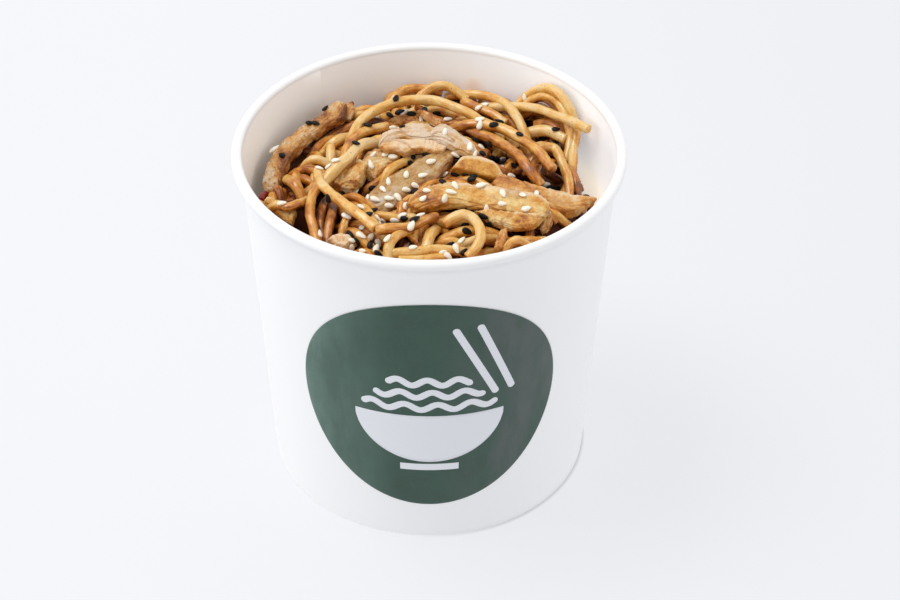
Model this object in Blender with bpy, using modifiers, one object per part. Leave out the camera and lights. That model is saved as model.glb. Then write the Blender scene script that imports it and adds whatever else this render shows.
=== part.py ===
# Noodle takeaway tub: a round paper tub with a rolled rim and a round sticker,
# filled with thick noodles, chicken strips, a bit of red pepper and sesame seeds.
# Metres, +Z up. The origin is the middle of the tub's foot. The sticker faces -Y.

import math
import random

import bmesh
import bpy
import numpy as np
from mathutils import Matrix, Vector
from mathutils.bvhtree import BVHTree

MM = 0.001

# Paper tub
RIM_RADIUS = 58.5 * MM
BEAD_RADIUS = 1.6 * MM
HEIGHT = 112.0 * MM
FOOT_RADIUS = 49.5 * MM
PAPER = 0.7 * MM
STEPS = 48
BEAD_POINTS = 7
FLOOR_HEIGHT = 7.0 * MM
HEM_HEIGHT = 5.5 * MM
SKIRT_GAP = 0.3 * MM

# Sticker
STICKER_RADIUS = 40.4 * MM
STICKER_HEIGHT = 54.7 * MM
STICKER_CLEARANCE = 0.45 * MM
STICKER_THICKNESS = 0.3 * MM
STICKER_RINGS = 4
STICKER_STEPS = 32

# Food
GAP = 0.3 * MM
HEAP_AT_WALL = 99.0 * MM
HEAP_RISE = 3.5 * MM
CORE_BELOW_HEAP = 3.4 * MM
DENT_DEPTH = 4.2 * MM
DENT_SLOPE = 5.0 * MM
WALL_DIPS = [(48, 19, 12, 8), (-50, 12, 9, 7)]
CORE_RINGS = 11
NOODLE = 3.5 * MM
NOODLE_SIDES_LEVEL = 1
NOODLE_SPACING = 4.6 * MM
SINK = 0.9 * MM
MEAT_CLEARANCE = 0.6 * MM
SEED_LENGTH = 3.2 * MM
SEED_WIDTH = 1.9 * MM
SEED_THICKNESS = 1.1 * MM
SEED_COUNT = 60
SEED_RADIUS = 40.0 * MM
FILLERS = 20

# Height map of the heap, used to lay each piece on what is under it
CELL = 0.5 * MM
MAP_HALF = 60.0 * MM
MAP_AXIS = np.arange(-MAP_HALF, MAP_HALF + CELL / 2, CELL)

# Colours
PAPER_WHITE = (0.86, 0.86, 0.85)
STICKER_GREEN = (0.035, 0.085, 0.060)
NOODLE_TAN = (0.62, 0.38, 0.16)
CHICKEN_TAN = (0.60, 0.36, 0.18)
PEPPER_RED = (0.50, 0.03, 0.015)

# Chicken pieces from the bottom of the heap up: points in mm of the line down the middle of
# each strip, seen from above, its width and its thickness.
CHICKEN = {
    "chicken_wall_strip": dict(spine=[(-47, -3), (-45.5, 8), (-41, 19), (-33, 30), (-24, 38)], wide=8, thick=7),
    "chicken_long_slab": dict(spine=[(-16, -15), (-7.5, -4), (4, 12)], wide=11, thick=5.5),
    "chicken_left_chunk": dict(spine=[(-30.5, -3), (-25, 1), (-21, 6)], wide=11, thick=7),
    "chicken_mid_chunk": dict(spine=[(-19, 10), (-14.5, 9.5), (-9, 13)], wide=9.5, thick=6.5),
    "chicken_right_strip": dict(spine=[(22, -2), (32, -8), (42, -12), (49, -13)], wide=9, thick=6),
    "chicken_block": dict(spine=[(7.5, 2), (14, 2), (20.5, -1)], wide=10.5, thick=7.5, lift=1),
    "chicken_back_flake": dict(spine=[(-13, 30.5), (-8, 32.5), (-3, 32)], wide=5, thick=4),
    "chicken_front_chunk": dict(spine=[(-30, -31), (-25, -30), (-21, -31)], wide=8, thick=6),
    "chicken_rim_chunk": dict(spine=[(-45, -18), (-41.5, -16), (-39, -15)], wide=7, thick=5),
    "chicken_end_chunk": dict(spine=[(32, -29), (35, -28), (39, -26)], wide=6, thick=5),
    "chicken_front_strip": dict(
        spine=[(-7, -15.5), (5, -12), (17, -14), (27, -17.5), (34, -20.5)], wide=13, thick=6.5, lift=3
    ),
    "chicken_top_slab": dict(spine=[(-14, 12), (-3, 17), (6, 15), (14, 7)], wide=12, thick=6),
}
PEPPER = dict(spine=[(-49.3, -8), (-49, -11), (-47.5, -15)], wide=3.5, thick=5)
CHICKEN_SEGMENTS = 10
CHICKEN_RINGS = 10

# Noodles that show, from the bottom of the heap up: points in mm of each one's middle line,
# and its diameter in mm where it isn't the usual one.
NOODLES = [
    dict(route=[(-33, 21, 94), (-28, 23, 98), (-22, 28, 95)], thick=4.1),
    dict(route=[(-43, 5, 95), (-40, -2, 99), (-37, -7, 95)], thick=3.8),
    dict(route=[(-39, 11, 95), (-35, 11, 99), (-29, 10, 97)]),
    dict(route=[(-31, 20, 97), (-30, 15, 100), (-30, 8, 96)]),
    dict(route=[(-47, -11, 97), (-42, -16, 100), (-38, -13, 100), (-35, -4, 96)], thick=3.3),
    dict(route=[(-31, -9, 98), (-32, -17, 97), (-31, -24, 94)], thick=3.1),
    dict(route=[(-28, -10, 98), (-29, -19, 98), (-30, -27, 94)], thick=3.1),
    dict(route=[(-26, -25, 96), (-24, -20, 99), (-22, -15, 97)], thick=3.1),
    dict(route=[(-2, -36, 95), (0, -28, 99), (2, -22, 97)], thick=3.7),
    dict(route=[(-12, -35, 96), (-4, -35, 98), (3, -34, 98), (11, -33, 96)]),
    dict(route=[(19, -34, 94), (25, -32, 98), (32, -31, 95)], thick=3.4),
    dict(route=[(-25, -21, 96), (-20, -28, 98), (-13, -34, 95)]),
    dict(route=[(-15, 43, 95), (-9, 49, 99), (-3, 51, 99), (4, 51, 96)]),
    dict(route=[(-6, 45, 96), (0, 49, 100), (6, 50, 100), (12, 47, 96)]),
    dict(route=[(5, 50, 95), (13, 49, 98), (19, 46, 99), (24, 40, 100), (28, 30, 100), (31, 20, 96)], thick=3.4),
    dict(route=[(14, 44, 96), (26, 39, 100), (34, 33, 103), (41, 26, 104.5), (48.5, 18, 105.5)], thick=3.7),
    dict(route=[(29, 40, 96), (34, 39, 103), (38, 36, 104), (41, 32, 101), (43, 26, 95)], thick=3.1),
    dict(route=[(27, 41, 96), (31, 41, 103), (36, 38, 107.5), (40, 33, 108.5), (43, 29, 106),
                (45, 25, 101), (44, 19, 97), (43, 9, 94), (40, 0, 92)], thick=3.7),
    dict(route=[(28, 29, 95), (36, 27, 99), (42, 22, 99)], thick=3.9),
    dict(route=[(30, 13, 95), (34, 17, 99), (38, 17, 99), (40, 12, 98), (42, 5, 95), (42, -1, 92)], thick=3.4),
    dict(route=[(10, 28.5, 97), (15, 23.5, 100), (20, 18.5, 101), (26, 11, 101.5), (30, 3, 101), (33.5, -0.5, 96)],
         thick=3.7),
    dict(route=[(5, 28, 97), (13, 26, 102), (22, 23, 102.5), (28, 18, 102), (33, 11, 102), (37, 3, 101)],
         thick=3.7),
    dict(route=[(-26, 10, 96), (-25, 15, 100), (-23, 20.5, 100.5), (-19, 24.5, 100.5), (-13, 29.5, 98)]),
    dict(route=[(-26, 12, 96), (-24, 21, 100), (-21, 28, 102), (-16, 33, 103), (-9, 37, 103),
                (0, 38, 103), (6, 35, 103), (13, 31, 102), (19, 27, 98)], thick=3.6),
    dict(route=[(-32, -4, 98), (-25, 5, 102.5), (-21, 13, 102.5), (-16, 20, 98)], thick=4.0),
    dict(route=[(-32.5, -5, 102), (-34.5, -11.5, 101.5), (-35, -17.5, 100), (-34, -22, 98), (-32.5, -27, 94)]),
    dict(route=[(-33.5, 2, 100), (-32.5, -6, 103), (-29, -12.5, 103.5), (-24.5, -18, 103),
                (-20, -23.5, 103), (-15.5, -28.5, 102)]),
    dict(route=[(-15.5, -28.5, 101.5), (-11.5, -28.5, 102), (-6, -27.5, 102), (-2, -24.5, 101), (2, -19.5, 98)]),
    dict(route=[(-12, -37, 95), (-11.5, -33.5, 100), (-9, -30, 101), (-5, -26, 98)]),
    dict(route=[(4, -24, 98), (6, -23, 101.5), (9.5, -22, 102.5), (13, -23, 102), (15.5, -27.5, 102),
                (16, -31.5, 101), (14.5, -35, 100), (11.5, -37, 96)]),
]


def clear_scene():
    for obj in list(bpy.data.objects):
        bpy.data.objects.remove(obj)


def new_collection(name):
    collection = bpy.data.collections.new(name)
    bpy.context.scene.collection.children.link(collection)
    return collection


def material(name, colour, roughness):
    made = bpy.data.materials.new(name)
    made.use_nodes = True
    shader = made.node_tree.nodes["Principled BSDF"]
    shader.inputs["Base Color"].default_value = (*colour, 1.0)
    shader.inputs["Roughness"].default_value = roughness
    return made


def add_object(name, mesh, collection, finish=None):
    obj = bpy.data.objects.new(name, mesh)
    collection.objects.link(obj)
    if finish:
        mesh.materials.append(finish)
    return obj


def made_mesh(obj, name):
    """The object as its modifiers leave it, as a new mesh. The object goes."""
    bpy.context.view_layer.update()
    evaluated = obj.evaluated_get(bpy.context.evaluated_depsgraph_get())
    mesh = bpy.data.meshes.new_from_object(evaluated)
    mesh.transform(obj.matrix_world)
    mesh.name = name
    bpy.data.objects.remove(obj)
    return mesh


def shade(mesh):
    """Smooth shading, with edges over 50 degrees left sharp."""
    mesh.shade_smooth()
    mesh.set_sharp_from_angle(angle=math.radians(50))


def weld(mesh):
    """Joins points that lie on each other, such as those of a curve's caps."""
    bm = bmesh.new()
    bm.from_mesh(mesh)
    bmesh.ops.remove_doubles(bm, verts=bm.verts, dist=0.01 * MM)
    bm.to_mesh(mesh)
    bm.free()
    return mesh


def turned(name, profile, collection, closed, steps=STEPS):
    """An object turned about Z from (radius, height) points that run down its outer side."""
    mesh = bpy.data.meshes.new(name)
    points = [(radius, 0.0, height) for radius, height in profile]
    edges = [(i, i + 1) for i in range(len(points) - 1)]
    if closed:
        edges.append((len(points) - 1, 0))
    mesh.from_pydata(points, edges, [])
    obj = add_object(name, mesh, collection)
    screw = obj.modifiers.new("Turn", "SCREW")
    screw.steps = screw.render_steps = steps
    screw.use_merge_vertices = True
    screw.merge_threshold = 0.01 * MM
    return obj


def wall_radius(height):
    """Outside radius of the tub's wall at a height."""
    top = RIM_RADIUS - 2 * BEAD_RADIUS + PAPER
    return FOOT_RADIUS + (top - FOOT_RADIUS) * height / (HEIGHT - BEAD_RADIUS)


def inner_radius(height):
    return wall_radius(height) - PAPER


def tub_wall(collection, finish):
    """Wall with a rolled rim, and at the foot a hem that folds in and up round the floor's skirt."""
    bead_middle = RIM_RADIUS - BEAD_RADIUS
    bead_height = HEIGHT - BEAD_RADIUS
    bead = []
    for i in range(BEAD_POINTS):
        angle = math.radians(180 - i * 262 / (BEAD_POINTS - 1))
        bead.append((
            bead_middle + BEAD_RADIUS * math.cos(angle),
            bead_height + BEAD_RADIUS * math.sin(angle),
        ))
    under_bead = HEIGHT - 2 * BEAD_RADIUS
    slot = PAPER + 2 * SKIRT_GAP
    hem_outer = FOOT_RADIUS - PAPER - slot
    profile = bead + [
        (wall_radius(under_bead), under_bead),
        (FOOT_RADIUS, 0.0),
        (hem_outer - PAPER, 0.0),
        (hem_outer - PAPER, HEM_HEIGHT),
        (hem_outer, HEM_HEIGHT),
        (hem_outer, PAPER),
        (inner_radius(PAPER), PAPER),
    ]
    obj = turned("tub_wall", profile, collection, closed=True)
    obj.data.materials.append(finish)
    return obj


def tub_floor(collection, finish):
    """Floor disc with a skirt that goes down into the hem."""
    skirt = FOOT_RADIUS - PAPER - SKIRT_GAP
    low = PAPER + SKIRT_GAP
    profile = [
        (0.0, FLOOR_HEIGHT),
        (skirt, FLOOR_HEIGHT),
        (skirt, low),
        (skirt - PAPER, low),
        (skirt - PAPER, FLOOR_HEIGHT - PAPER),
        (0.0, FLOOR_HEIGHT - PAPER),
    ]
    obj = turned("tub_floor", profile, collection, closed=False)
    obj.data.materials.append(finish)
    return obj


def sticker(collection, finish):
    """Round sticker: a flat disc wound on the wall's cone, just clear of it."""
    rings = [(STICKER_RADIUS * i / STICKER_RINGS, 0.0) for i in range(STICKER_RINGS, -1, -1)]
    flat = turned("sticker_flat", rings, collection, closed=False, steps=STICKER_STEPS)
    mesh = weld(made_mesh(flat, "sticker"))
    middle_radius = wall_radius(STICKER_HEIGHT)
    for vertex in mesh.vertices:
        along, up = vertex.co.x, vertex.co.y
        height = STICKER_HEIGHT + up
        angle = along / middle_radius
        radius = wall_radius(height) + STICKER_CLEARANCE
        vertex.co = (radius * math.sin(angle), -radius * math.cos(angle), height)
    bm = bmesh.new()
    bm.from_mesh(mesh)
    bmesh.ops.recalc_face_normals(bm, faces=bm.faces)
    bm.faces.ensure_lookup_table()
    if bm.faces[0].normal.y > 0:
        bmesh.ops.reverse_faces(bm, faces=bm.faces)
    bm.to_mesh(mesh)
    bm.free()
    shade(mesh)
    obj = add_object("sticker", mesh, collection, finish)
    solid = obj.modifiers.new("Thickness", "SOLIDIFY")
    solid.thickness = STICKER_THICKNESS
    solid.offset = 1.0
    return obj


def heap_height(x, y):
    """The mound that the middles of the upper noodles follow."""
    share = np.hypot(x, y) / inner_radius(HEAP_AT_WALL)
    return HEAP_AT_WALL + HEAP_RISE * (1 - share**2)


def core_height(x, y):
    """Top of the bare heap at a point: under the mound, bumpy, with a dent for each piece of meat
    and a dip at each place by the wall that the food leaves bare."""
    bumps = 0.5 * MM * np.sin(x * 170 + 0.6) * np.cos(y * 150 - 0.4)
    dent = 0.0
    for shape in list(CHICKEN.values()) + [PEPPER]:
        line = smooth_route(shape["spine"], 2 * MM)
        away = np.hypot(line[:, 0] - x, line[:, 1] - y).min() - shape["wide"] * MM / 2
        level = min(max(1 - away / DENT_SLOPE, 0), 1)
        dent = max(dent, level * level * (3 - 2 * level))
    dip = 0.0
    for middle_x, middle_y, reach, depth in WALL_DIPS:
        level = max(1 - math.hypot(x - middle_x * MM, y - middle_y * MM) / (reach * MM), 0)
        dip = max(dip, depth * MM * min(1, 2 * level))
    return heap_height(x, y) - CORE_BELOW_HEAP + bumps - max(DENT_DEPTH * dent, dip)


def core(collection):
    """Plug that fills the tub up to the bare heap's uneven top."""
    facet = math.cos(math.pi / STEPS)
    base = FLOOR_HEIGHT + GAP
    top_edge = inner_radius(HEAP_AT_WALL) * facet - 2 * GAP
    low_edge = inner_radius(base) * facet - GAP
    profile = [(top_edge * i / CORE_RINGS, HEAP_AT_WALL) for i in range(CORE_RINGS + 1)]
    profile += [(low_edge, base), (0.0, base)]
    mesh = weld(made_mesh(turned("core_plain", profile, collection, closed=False), "core"))
    for vertex in mesh.vertices:
        if vertex.co.z > base + MM:
            vertex.co.z = core_height(vertex.co.x, vertex.co.y)
    return add_object("core", mesh, collection)


def cell_of(value):
    return int(round((value + MAP_HALF) / CELL))


def window(x, y, reach):
    """Map cells within reach of (x, y), and their offsets from it."""
    steps = int(reach / CELL) + 2
    i, j = cell_of(x), cell_of(y)
    across = slice(max(i - steps, 0), i + steps + 1)
    along = slice(max(j - steps, 0), j + steps + 1)
    return across, along, MAP_AXIS[across, None] - x, MAP_AXIS[None, along] - y


def rest_height(heap, x, y, radius):
    """Lowest place for the middle of a ball at (x, y) that stays on top of a height map."""
    across, along, dx, dy = window(x, y, radius)
    left = radius**2 - dx**2 - dy**2
    tops = heap[across, along] + np.sqrt(np.clip(left, 0, None))
    return tops[left > 0].max()


def raise_by_tube(heap, points, radius):
    for x, y, z in points:
        across, along, dx, dy = window(x, y, radius)
        left = radius**2 - dx**2 - dy**2
        tops = np.where(left > 0, z + np.sqrt(np.clip(left, 0, None)), -1.0)
        heap[across, along] = np.maximum(heap[across, along], tops)


def ray_map(mesh, from_top):
    """Height map of a mesh seen from above or below, with nan where it isn't."""
    tree = BVHTree.FromPolygons(
        [v.co for v in mesh.vertices], [p.vertices for p in mesh.polygons]
    )
    found = np.full((len(MAP_AXIS), len(MAP_AXIS)), np.nan)
    corners = np.array([v.co for v in mesh.vertices])
    low, high = corners.min(axis=0) - CELL, corners.max(axis=0) + CELL
    start = high[2] + MM if from_top else low[2] - MM
    way = Vector((0, 0, -1)) if from_top else Vector((0, 0, 1))
    for i in range(max(cell_of(low[0]), 0), min(cell_of(high[0]) + 1, len(MAP_AXIS))):
        for j in range(max(cell_of(low[1]), 0), min(cell_of(high[1]) + 1, len(MAP_AXIS))):
            hit = tree.ray_cast(Vector((MAP_AXIS[i], MAP_AXIS[j], start)), way)[0]
            if hit:
                found[i, j] = hit.z
    return found


def widened(heap, reach):
    """A height map with each cell raised to the highest of the cells within reach."""
    steps = int(round(reach / CELL))
    wide = heap.copy()
    for i in range(-steps, steps + 1):
        for j in range(-steps, steps + 1):
            if i * i + j * j <= steps * steps:
                wide = np.maximum(wide, np.roll(heap, (i, j), (0, 1)))
    return wide


def power(value, exponent):
    return math.copysign(abs(value) ** exponent, value)


def meat_mesh(name, spine, wide, thick, seed):
    """Strip of meat: a ball squared off, drawn along its spine, and made uneven on the way."""
    line = smooth_route(spine, MM / 2)
    run = np.linspace(0, 1, len(line))
    length = np.hypot(*np.diff(line, axis=0).T).sum()
    draw = random.Random(seed)
    phase = [draw.uniform(0, 2 * math.pi) for _ in range(3)]
    bm = bmesh.new()
    bmesh.ops.create_uvsphere(
        bm, u_segments=CHICKEN_SEGMENTS, v_segments=CHICKEN_RINGS, radius=1.0
    )
    for vertex in bm.verts:
        across, up, along = vertex.co
        around = max(math.hypot(across, up), 1e-6)
        fullness = around**0.55
        waves = 2.5 * length / (25 * MM)
        waist = 1 + 0.12 * math.sin(waves * 1.3 * along + phase[0])
        lump = 1 + (0.14 if up > 0 else 0.04) * math.sin(waves * 2 * along + phase[1])
        edge = 0.05 * math.sin(waves * 2.7 * along + phase[2])
        side = (power(across / around, 0.75) * fullness * waist / 2 + edge) * wide * MM
        height = power(up / around, 0.75) * fullness * lump / 2 * thick * MM
        place = 0.5 + 0.5 * power(along, 0.8)
        middle = np.array([np.interp(place, run, line[:, k]) for k in range(2)])
        ahead = np.array([np.interp(min(place + 0.03, 1), run, line[:, k]) for k in range(2)])
        behind = np.array([np.interp(max(place - 0.03, 0), run, line[:, k]) for k in range(2)])
        way = (ahead - behind) / np.hypot(*(ahead - behind))
        vertex.co = (middle[0] - side * way[1], middle[1] + side * way[0], height)
    mesh = bpy.data.meshes.new(name)
    bm.to_mesh(mesh)
    bm.free()
    return mesh


def keep_in_tub(mesh):
    """Pulls the points of a mesh that reach the wall back inside it."""
    limit = inner_radius(HEAP_AT_WALL - 5 * MM) * math.cos(math.pi / STEPS) - 2 * GAP
    for vertex in mesh.vertices:
        out = math.hypot(vertex.co.x, vertex.co.y)
        if out > limit:
            vertex.co.x *= limit / out
            vertex.co.y *= limit / out


def lay_meat(collection, heap, meat, finish, pepper_finish):
    """Sets each piece down a gap clear of the bare heap and of the pieces before it."""
    pieces = []
    wanted = list(CHICKEN.items()) + [("red_pepper", PEPPER)]
    for number, (name, shape) in enumerate(wanted):
        mesh = meat_mesh(name, shape["spine"], shape["wide"], shape["thick"], number)
        keep_in_tub(mesh)
        below = ray_map(mesh, from_top=False)
        carried = np.maximum(heap, meat)
        drop = np.nanmax(widened(carried, CELL) - below) + GAP + shape.get("lift", 0) * MM
        mesh.transform(Matrix.Translation((0, 0, drop)))
        shade(mesh)
        top = ray_map(mesh, from_top=True)
        np.maximum(meat, np.nan_to_num(top, nan=-1.0), out=meat)
        pieces.append(add_object(name, mesh, collection,
                                 pepper_finish if name == "red_pepper" else finish))
    return pieces


def smooth_route(points, spacing):
    """Points at this spacing on a Catmull-Rom curve through a route given in mm."""
    route = np.array(points, float) * MM
    route = np.vstack([2 * route[0] - route[1], route, 2 * route[-1] - route[-2]])
    parts = []
    for a, b, c, d in zip(route[:-3], route[1:-2], route[2:-1], route[3:]):
        t = np.linspace(0, 1, 40, endpoint=False)[:, None]
        parts.append(0.5 * (2 * b + (c - a) * t + (2 * a - 5 * b + 4 * c - d) * t**2
                            + (3 * b - a - 3 * c + d) * t**3))
    dense = np.vstack(parts + [route[-2:-1]])
    steps = np.sqrt((np.diff(dense, axis=0) ** 2).sum(axis=1))
    run = np.concatenate([[0], np.cumsum(steps)])
    at = np.linspace(0, run[-1], max(4, int(round(run[-1] / spacing)) + 1))
    return np.column_stack([np.interp(at, run, dense[:, k]) for k in range(route.shape[1])])


def kept_inside(line, radius):
    """A noodle's middle line, pulled in where the noodle would touch the tub's wall."""
    facet = math.cos(math.pi / STEPS)
    reach = inner_radius(line[:, 2]) * facet - GAP - 1.05 * radius - 0.1 * MM
    out = np.hypot(line[:, 0], line[:, 1])
    line[:, :2] *= np.minimum(1, reach / np.maximum(out, 1e-9))[:, None]
    return line


def over_meat(line, meat, radius):
    """A noodle's middle line, raised where the noodle would touch a piece of meat."""
    clear = np.array([rest_height(meat, x, y, radius + MEAT_CLEARANCE) for x, y, _ in line])
    lift = np.maximum(clear - line[:, 2], 0)
    for _ in range(8):
        spread = lift.copy()
        spread[1:-1] = np.maximum(lift[1:-1], (lift[:-2] + lift[2:]) / 2 * 0.97)
        lift = spread
    line[:, 2] += lift
    return line


def filler_line(heap, route, radius):
    """Middle line of a noodle that lies on a height map, with both ends dipping in."""
    line = smooth_route(route, MM)
    on_heap = np.array([rest_height(heap, x, y, radius) for x, y, _ in line]) - SINK
    for _ in range(60):
        on_heap[1:-1] = np.maximum(on_heap[1:-1], (on_heap[:-2] + on_heap[2:]) / 2)
    run = np.arange(len(line)) * MM
    dip = np.clip(1 - np.minimum(run, run[-1] - run) / (8 * MM), 0, 1) ** 1.5
    line[:, 2] = on_heap - 3 * MM * dip
    return line


def tube(name, points, diameter, collection):
    """Noodle as a mesh: a bevelled curve through its points with filled caps."""
    curve = bpy.data.curves.new(name, "CURVE")
    curve.dimensions = "3D"
    curve.bevel_depth = diameter / 2
    curve.bevel_resolution = NOODLE_SIDES_LEVEL
    curve.use_fill_caps = True
    spline = curve.splines.new("POLY")
    spline.points.add(len(points) - 1)
    for point, place in zip(spline.points, points):
        point.co = (*place, 1.0)
    obj = bpy.data.objects.new(name, curve)
    collection.objects.link(obj)
    return add_object(name, weld(made_mesh(obj, name)), collection)


def filler_routes():
    """Short arcs spread round the edge of the heap, where no named noodle lies."""
    draw = random.Random(7)
    routes = []
    for number in range(FILLERS):
        angle = 2 * math.pi * (number + draw.uniform(-0.3, 0.3)) / FILLERS
        out = draw.uniform(40, 48)
        half = draw.uniform(0.18, 0.34)
        route = []
        for side in (-1, 0, 1):
            radius, turn = out + draw.uniform(-7, 3), angle + side * half
            route.append((radius * math.cos(turn), radius * math.sin(turn), 0))
        routes.append(route)
    return routes


def lay_noodles(collection, heap, meat):
    """Fillers first, each on top of those before it, then the named noodles."""
    lines = []
    for route in filler_routes():
        line = kept_inside(over_meat(filler_line(heap, route, NOODLE / 2), meat, NOODLE / 2), NOODLE / 2)
        if line[:, 2].max() > HEAP_AT_WALL + HEAP_RISE:
            continue
        raise_by_tube(heap, line, NOODLE / 2)
        lines.append((line, NOODLE))
    for noodle in NOODLES:
        diameter = noodle.get("thick", NOODLE / MM) * MM
        line = over_meat(smooth_route(noodle["route"], MM), meat, diameter / 2)
        lines.append((kept_inside(line, diameter / 2), diameter))
    pieces = []
    for number, (line, diameter) in enumerate(lines):
        steps = max(3, int(round(len(line) * MM / NOODLE_SPACING)))
        pick = np.linspace(0, len(line) - 1, steps + 1).round().astype(int)
        pieces.append(tube(f"noodle_{number}", line[pick], diameter, collection))
    return pieces


def seed_mesh(place):
    """Sesame seed: a small ball drawn out to a point at one end, half sunk where it lies."""
    bm = bmesh.new()
    bmesh.ops.create_icosphere(bm, subdivisions=1, radius=1.0)
    for vertex in bm.verts:
        taper = 1 - 0.3 * vertex.co.x
        vertex.co = (
            vertex.co.x * SEED_LENGTH / 2,
            vertex.co.y * taper * SEED_WIDTH / 2,
            vertex.co.z * SEED_THICKNESS / 2,
        )
    mesh = bpy.data.meshes.new("seed")
    bm.to_mesh(mesh)
    bm.free()
    mesh.transform(place)
    return mesh


def scatter_seeds(noodle_surface, meat_pieces):
    """Seeds by the piece that each lies on. One that comes near another piece is skipped."""
    trees = {"noodles": noodle_surface}
    for piece in meat_pieces:
        trees[piece.name] = BVHTree.FromPolygons(
            [v.co for v in piece.data.vertices], [p.vertices for p in piece.data.polygons]
        )
    draw = random.Random(21)
    found = {name: [] for name in trees}
    taken = []
    reach = SEED_LENGTH / 2 + GAP
    while sum(len(seeds) for seeds in found.values()) < SEED_COUNT:
        out = SEED_RADIUS * math.sqrt(draw.random())
        angle = draw.uniform(0, 2 * math.pi)
        spin = draw.uniform(0, 2 * math.pi)
        start = Vector((out * math.cos(angle), out * math.sin(angle), HEIGHT))
        hits = {name: tree.ray_cast(start, Vector((0, 0, -1))) for name, tree in trees.items()}
        hits = {name: hit for name, hit in hits.items() if hit[0]}
        name = max(hits, key=lambda each: hits[each][0].z)
        spot, normal = hits[name][0], hits[name][1]
        crowded = any((spot - other).length < 1.6 * SEED_LENGTH for other in taken)
        near = any(
            tree.find_nearest(spot, reach)[0] for other, tree in trees.items() if other != name
        )
        if crowded or near or name == "red_pepper" or normal.z < 0.6:
            continue
        taken.append(spot)
        facing = normal.to_track_quat("Z", "Y").to_matrix().to_4x4()
        place = Matrix.Translation(spot) @ facing @ Matrix.Rotation(spin, 4, "Z")
        found[name].append(place)
    return found


def fuse(name, pieces, finish, collection):
    """One solid from several that overlap, without the scraps and sealed hollows that this leaves."""
    joined = new_collection(name + "_pieces")
    for piece in pieces[1:]:
        for home in piece.users_collection:
            home.objects.unlink(piece)
        joined.objects.link(piece)
    union = pieces[0].modifiers.new("Fuse", "BOOLEAN")
    union.operation = "UNION"
    union.operand_type = "COLLECTION"
    union.collection = joined
    union.solver = "MANIFOLD"
    mesh = made_mesh(pieces[0], name)
    for piece in pieces[1:]:
        bpy.data.objects.remove(piece)
    bpy.data.collections.remove(joined)
    keep_largest(mesh)
    shade(mesh)
    mesh.materials.clear()
    return add_object(name, mesh, collection, finish)


def keep_largest(mesh):
    """Leaves only the connected surface with the most room in it."""
    bm = bmesh.new()
    bm.from_mesh(mesh)
    left, groups = set(bm.faces), []
    while left:
        group, edge = set(), [left.pop()]
        while edge:
            face = edge.pop()
            group.add(face)
            for near in {other for e in face.edges for other in e.link_faces} & left:
                left.remove(near)
                edge.append(near)
        groups.append(group)
    groups.sort(key=len)
    extra = [face for group in groups[:-1] for face in group]
    bmesh.ops.delete(bm, geom=extra, context="FACES")
    bm.to_mesh(mesh)
    bm.free()


def main():
    clear_scene()
    tub = new_collection("noodle_takeaway_tub")
    paper = material("white_paper", PAPER_WHITE, 0.45)
    tub_wall(tub, paper)
    tub_floor(tub, paper)
    sticker(tub, material("green_sticker", STICKER_GREEN, 0.35))

    bare = core(tub)
    heap = np.nan_to_num(ray_map(bare.data, from_top=True), nan=-1.0)
    meat = np.full_like(heap, -1.0)
    chicken_finish = material("chicken", CHICKEN_TAN, 0.45)
    pepper_finish = material("red_pepper", PEPPER_RED, 0.25)
    meat_pieces = lay_meat(tub, heap, meat, chicken_finish, pepper_finish)
    strands = lay_noodles(tub, heap, meat)
    noodle_finish = material("noodles", NOODLE_TAN, 0.35)
    noodles = fuse("noodles", [bare] + strands, noodle_finish, tub)

    surface = BVHTree.FromPolygons(
        [v.co for v in noodles.data.vertices], [p.vertices for p in noodles.data.polygons]
    )
    seeds = scatter_seeds(surface, meat_pieces)
    for piece in meat_pieces + [noodles]:
        on_it = [add_object("seed", seed_mesh(place), tub) for place in seeds[piece.name]]
        if on_it:
            name, finish = piece.name, piece.data.materials[0]
            piece.name = name + "_bare"
            fuse(name, [piece] + on_it, finish, tub)


main()
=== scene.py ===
import math

import bpy
import numpy as np
from mathutils import Matrix, Vector
from mathutils.bvhtree import BVHTree


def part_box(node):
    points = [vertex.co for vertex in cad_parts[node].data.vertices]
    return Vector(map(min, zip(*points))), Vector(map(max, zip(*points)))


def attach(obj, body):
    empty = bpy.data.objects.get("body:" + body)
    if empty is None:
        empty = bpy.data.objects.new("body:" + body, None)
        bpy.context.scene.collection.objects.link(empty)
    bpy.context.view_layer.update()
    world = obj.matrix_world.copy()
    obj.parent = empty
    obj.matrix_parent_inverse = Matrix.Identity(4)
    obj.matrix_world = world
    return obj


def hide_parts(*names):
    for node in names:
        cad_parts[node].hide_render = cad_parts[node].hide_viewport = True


# Finish of a round paper tub of noodles with chicken strips and sesame seeds.
# Lengths in the dictionaries are millimetres. The meshes are metres, in the frame's own place.
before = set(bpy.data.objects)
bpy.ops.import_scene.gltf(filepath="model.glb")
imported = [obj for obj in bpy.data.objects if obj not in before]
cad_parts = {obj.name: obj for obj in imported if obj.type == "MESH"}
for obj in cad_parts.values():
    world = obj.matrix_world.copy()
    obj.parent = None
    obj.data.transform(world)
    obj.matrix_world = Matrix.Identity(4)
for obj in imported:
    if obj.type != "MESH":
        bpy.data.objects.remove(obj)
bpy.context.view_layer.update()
mm = 0.001
print("frame loaded with", len(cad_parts), "solids")


# Camera

photoView = dict(place=(0.0, -551.94, 486.54), forward=(0.00913, 0.78685, -0.61708),
                 right=(0.99996, -0.00718, 0.00563), focal=2251.0, width=900, height=600, sensor=36.0)


def unit(vectors):
    vectors = np.asarray(vectors, float)
    return vectors / np.maximum(np.linalg.norm(vectors, axis=-1, keepdims=True), 1e-12)


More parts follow.
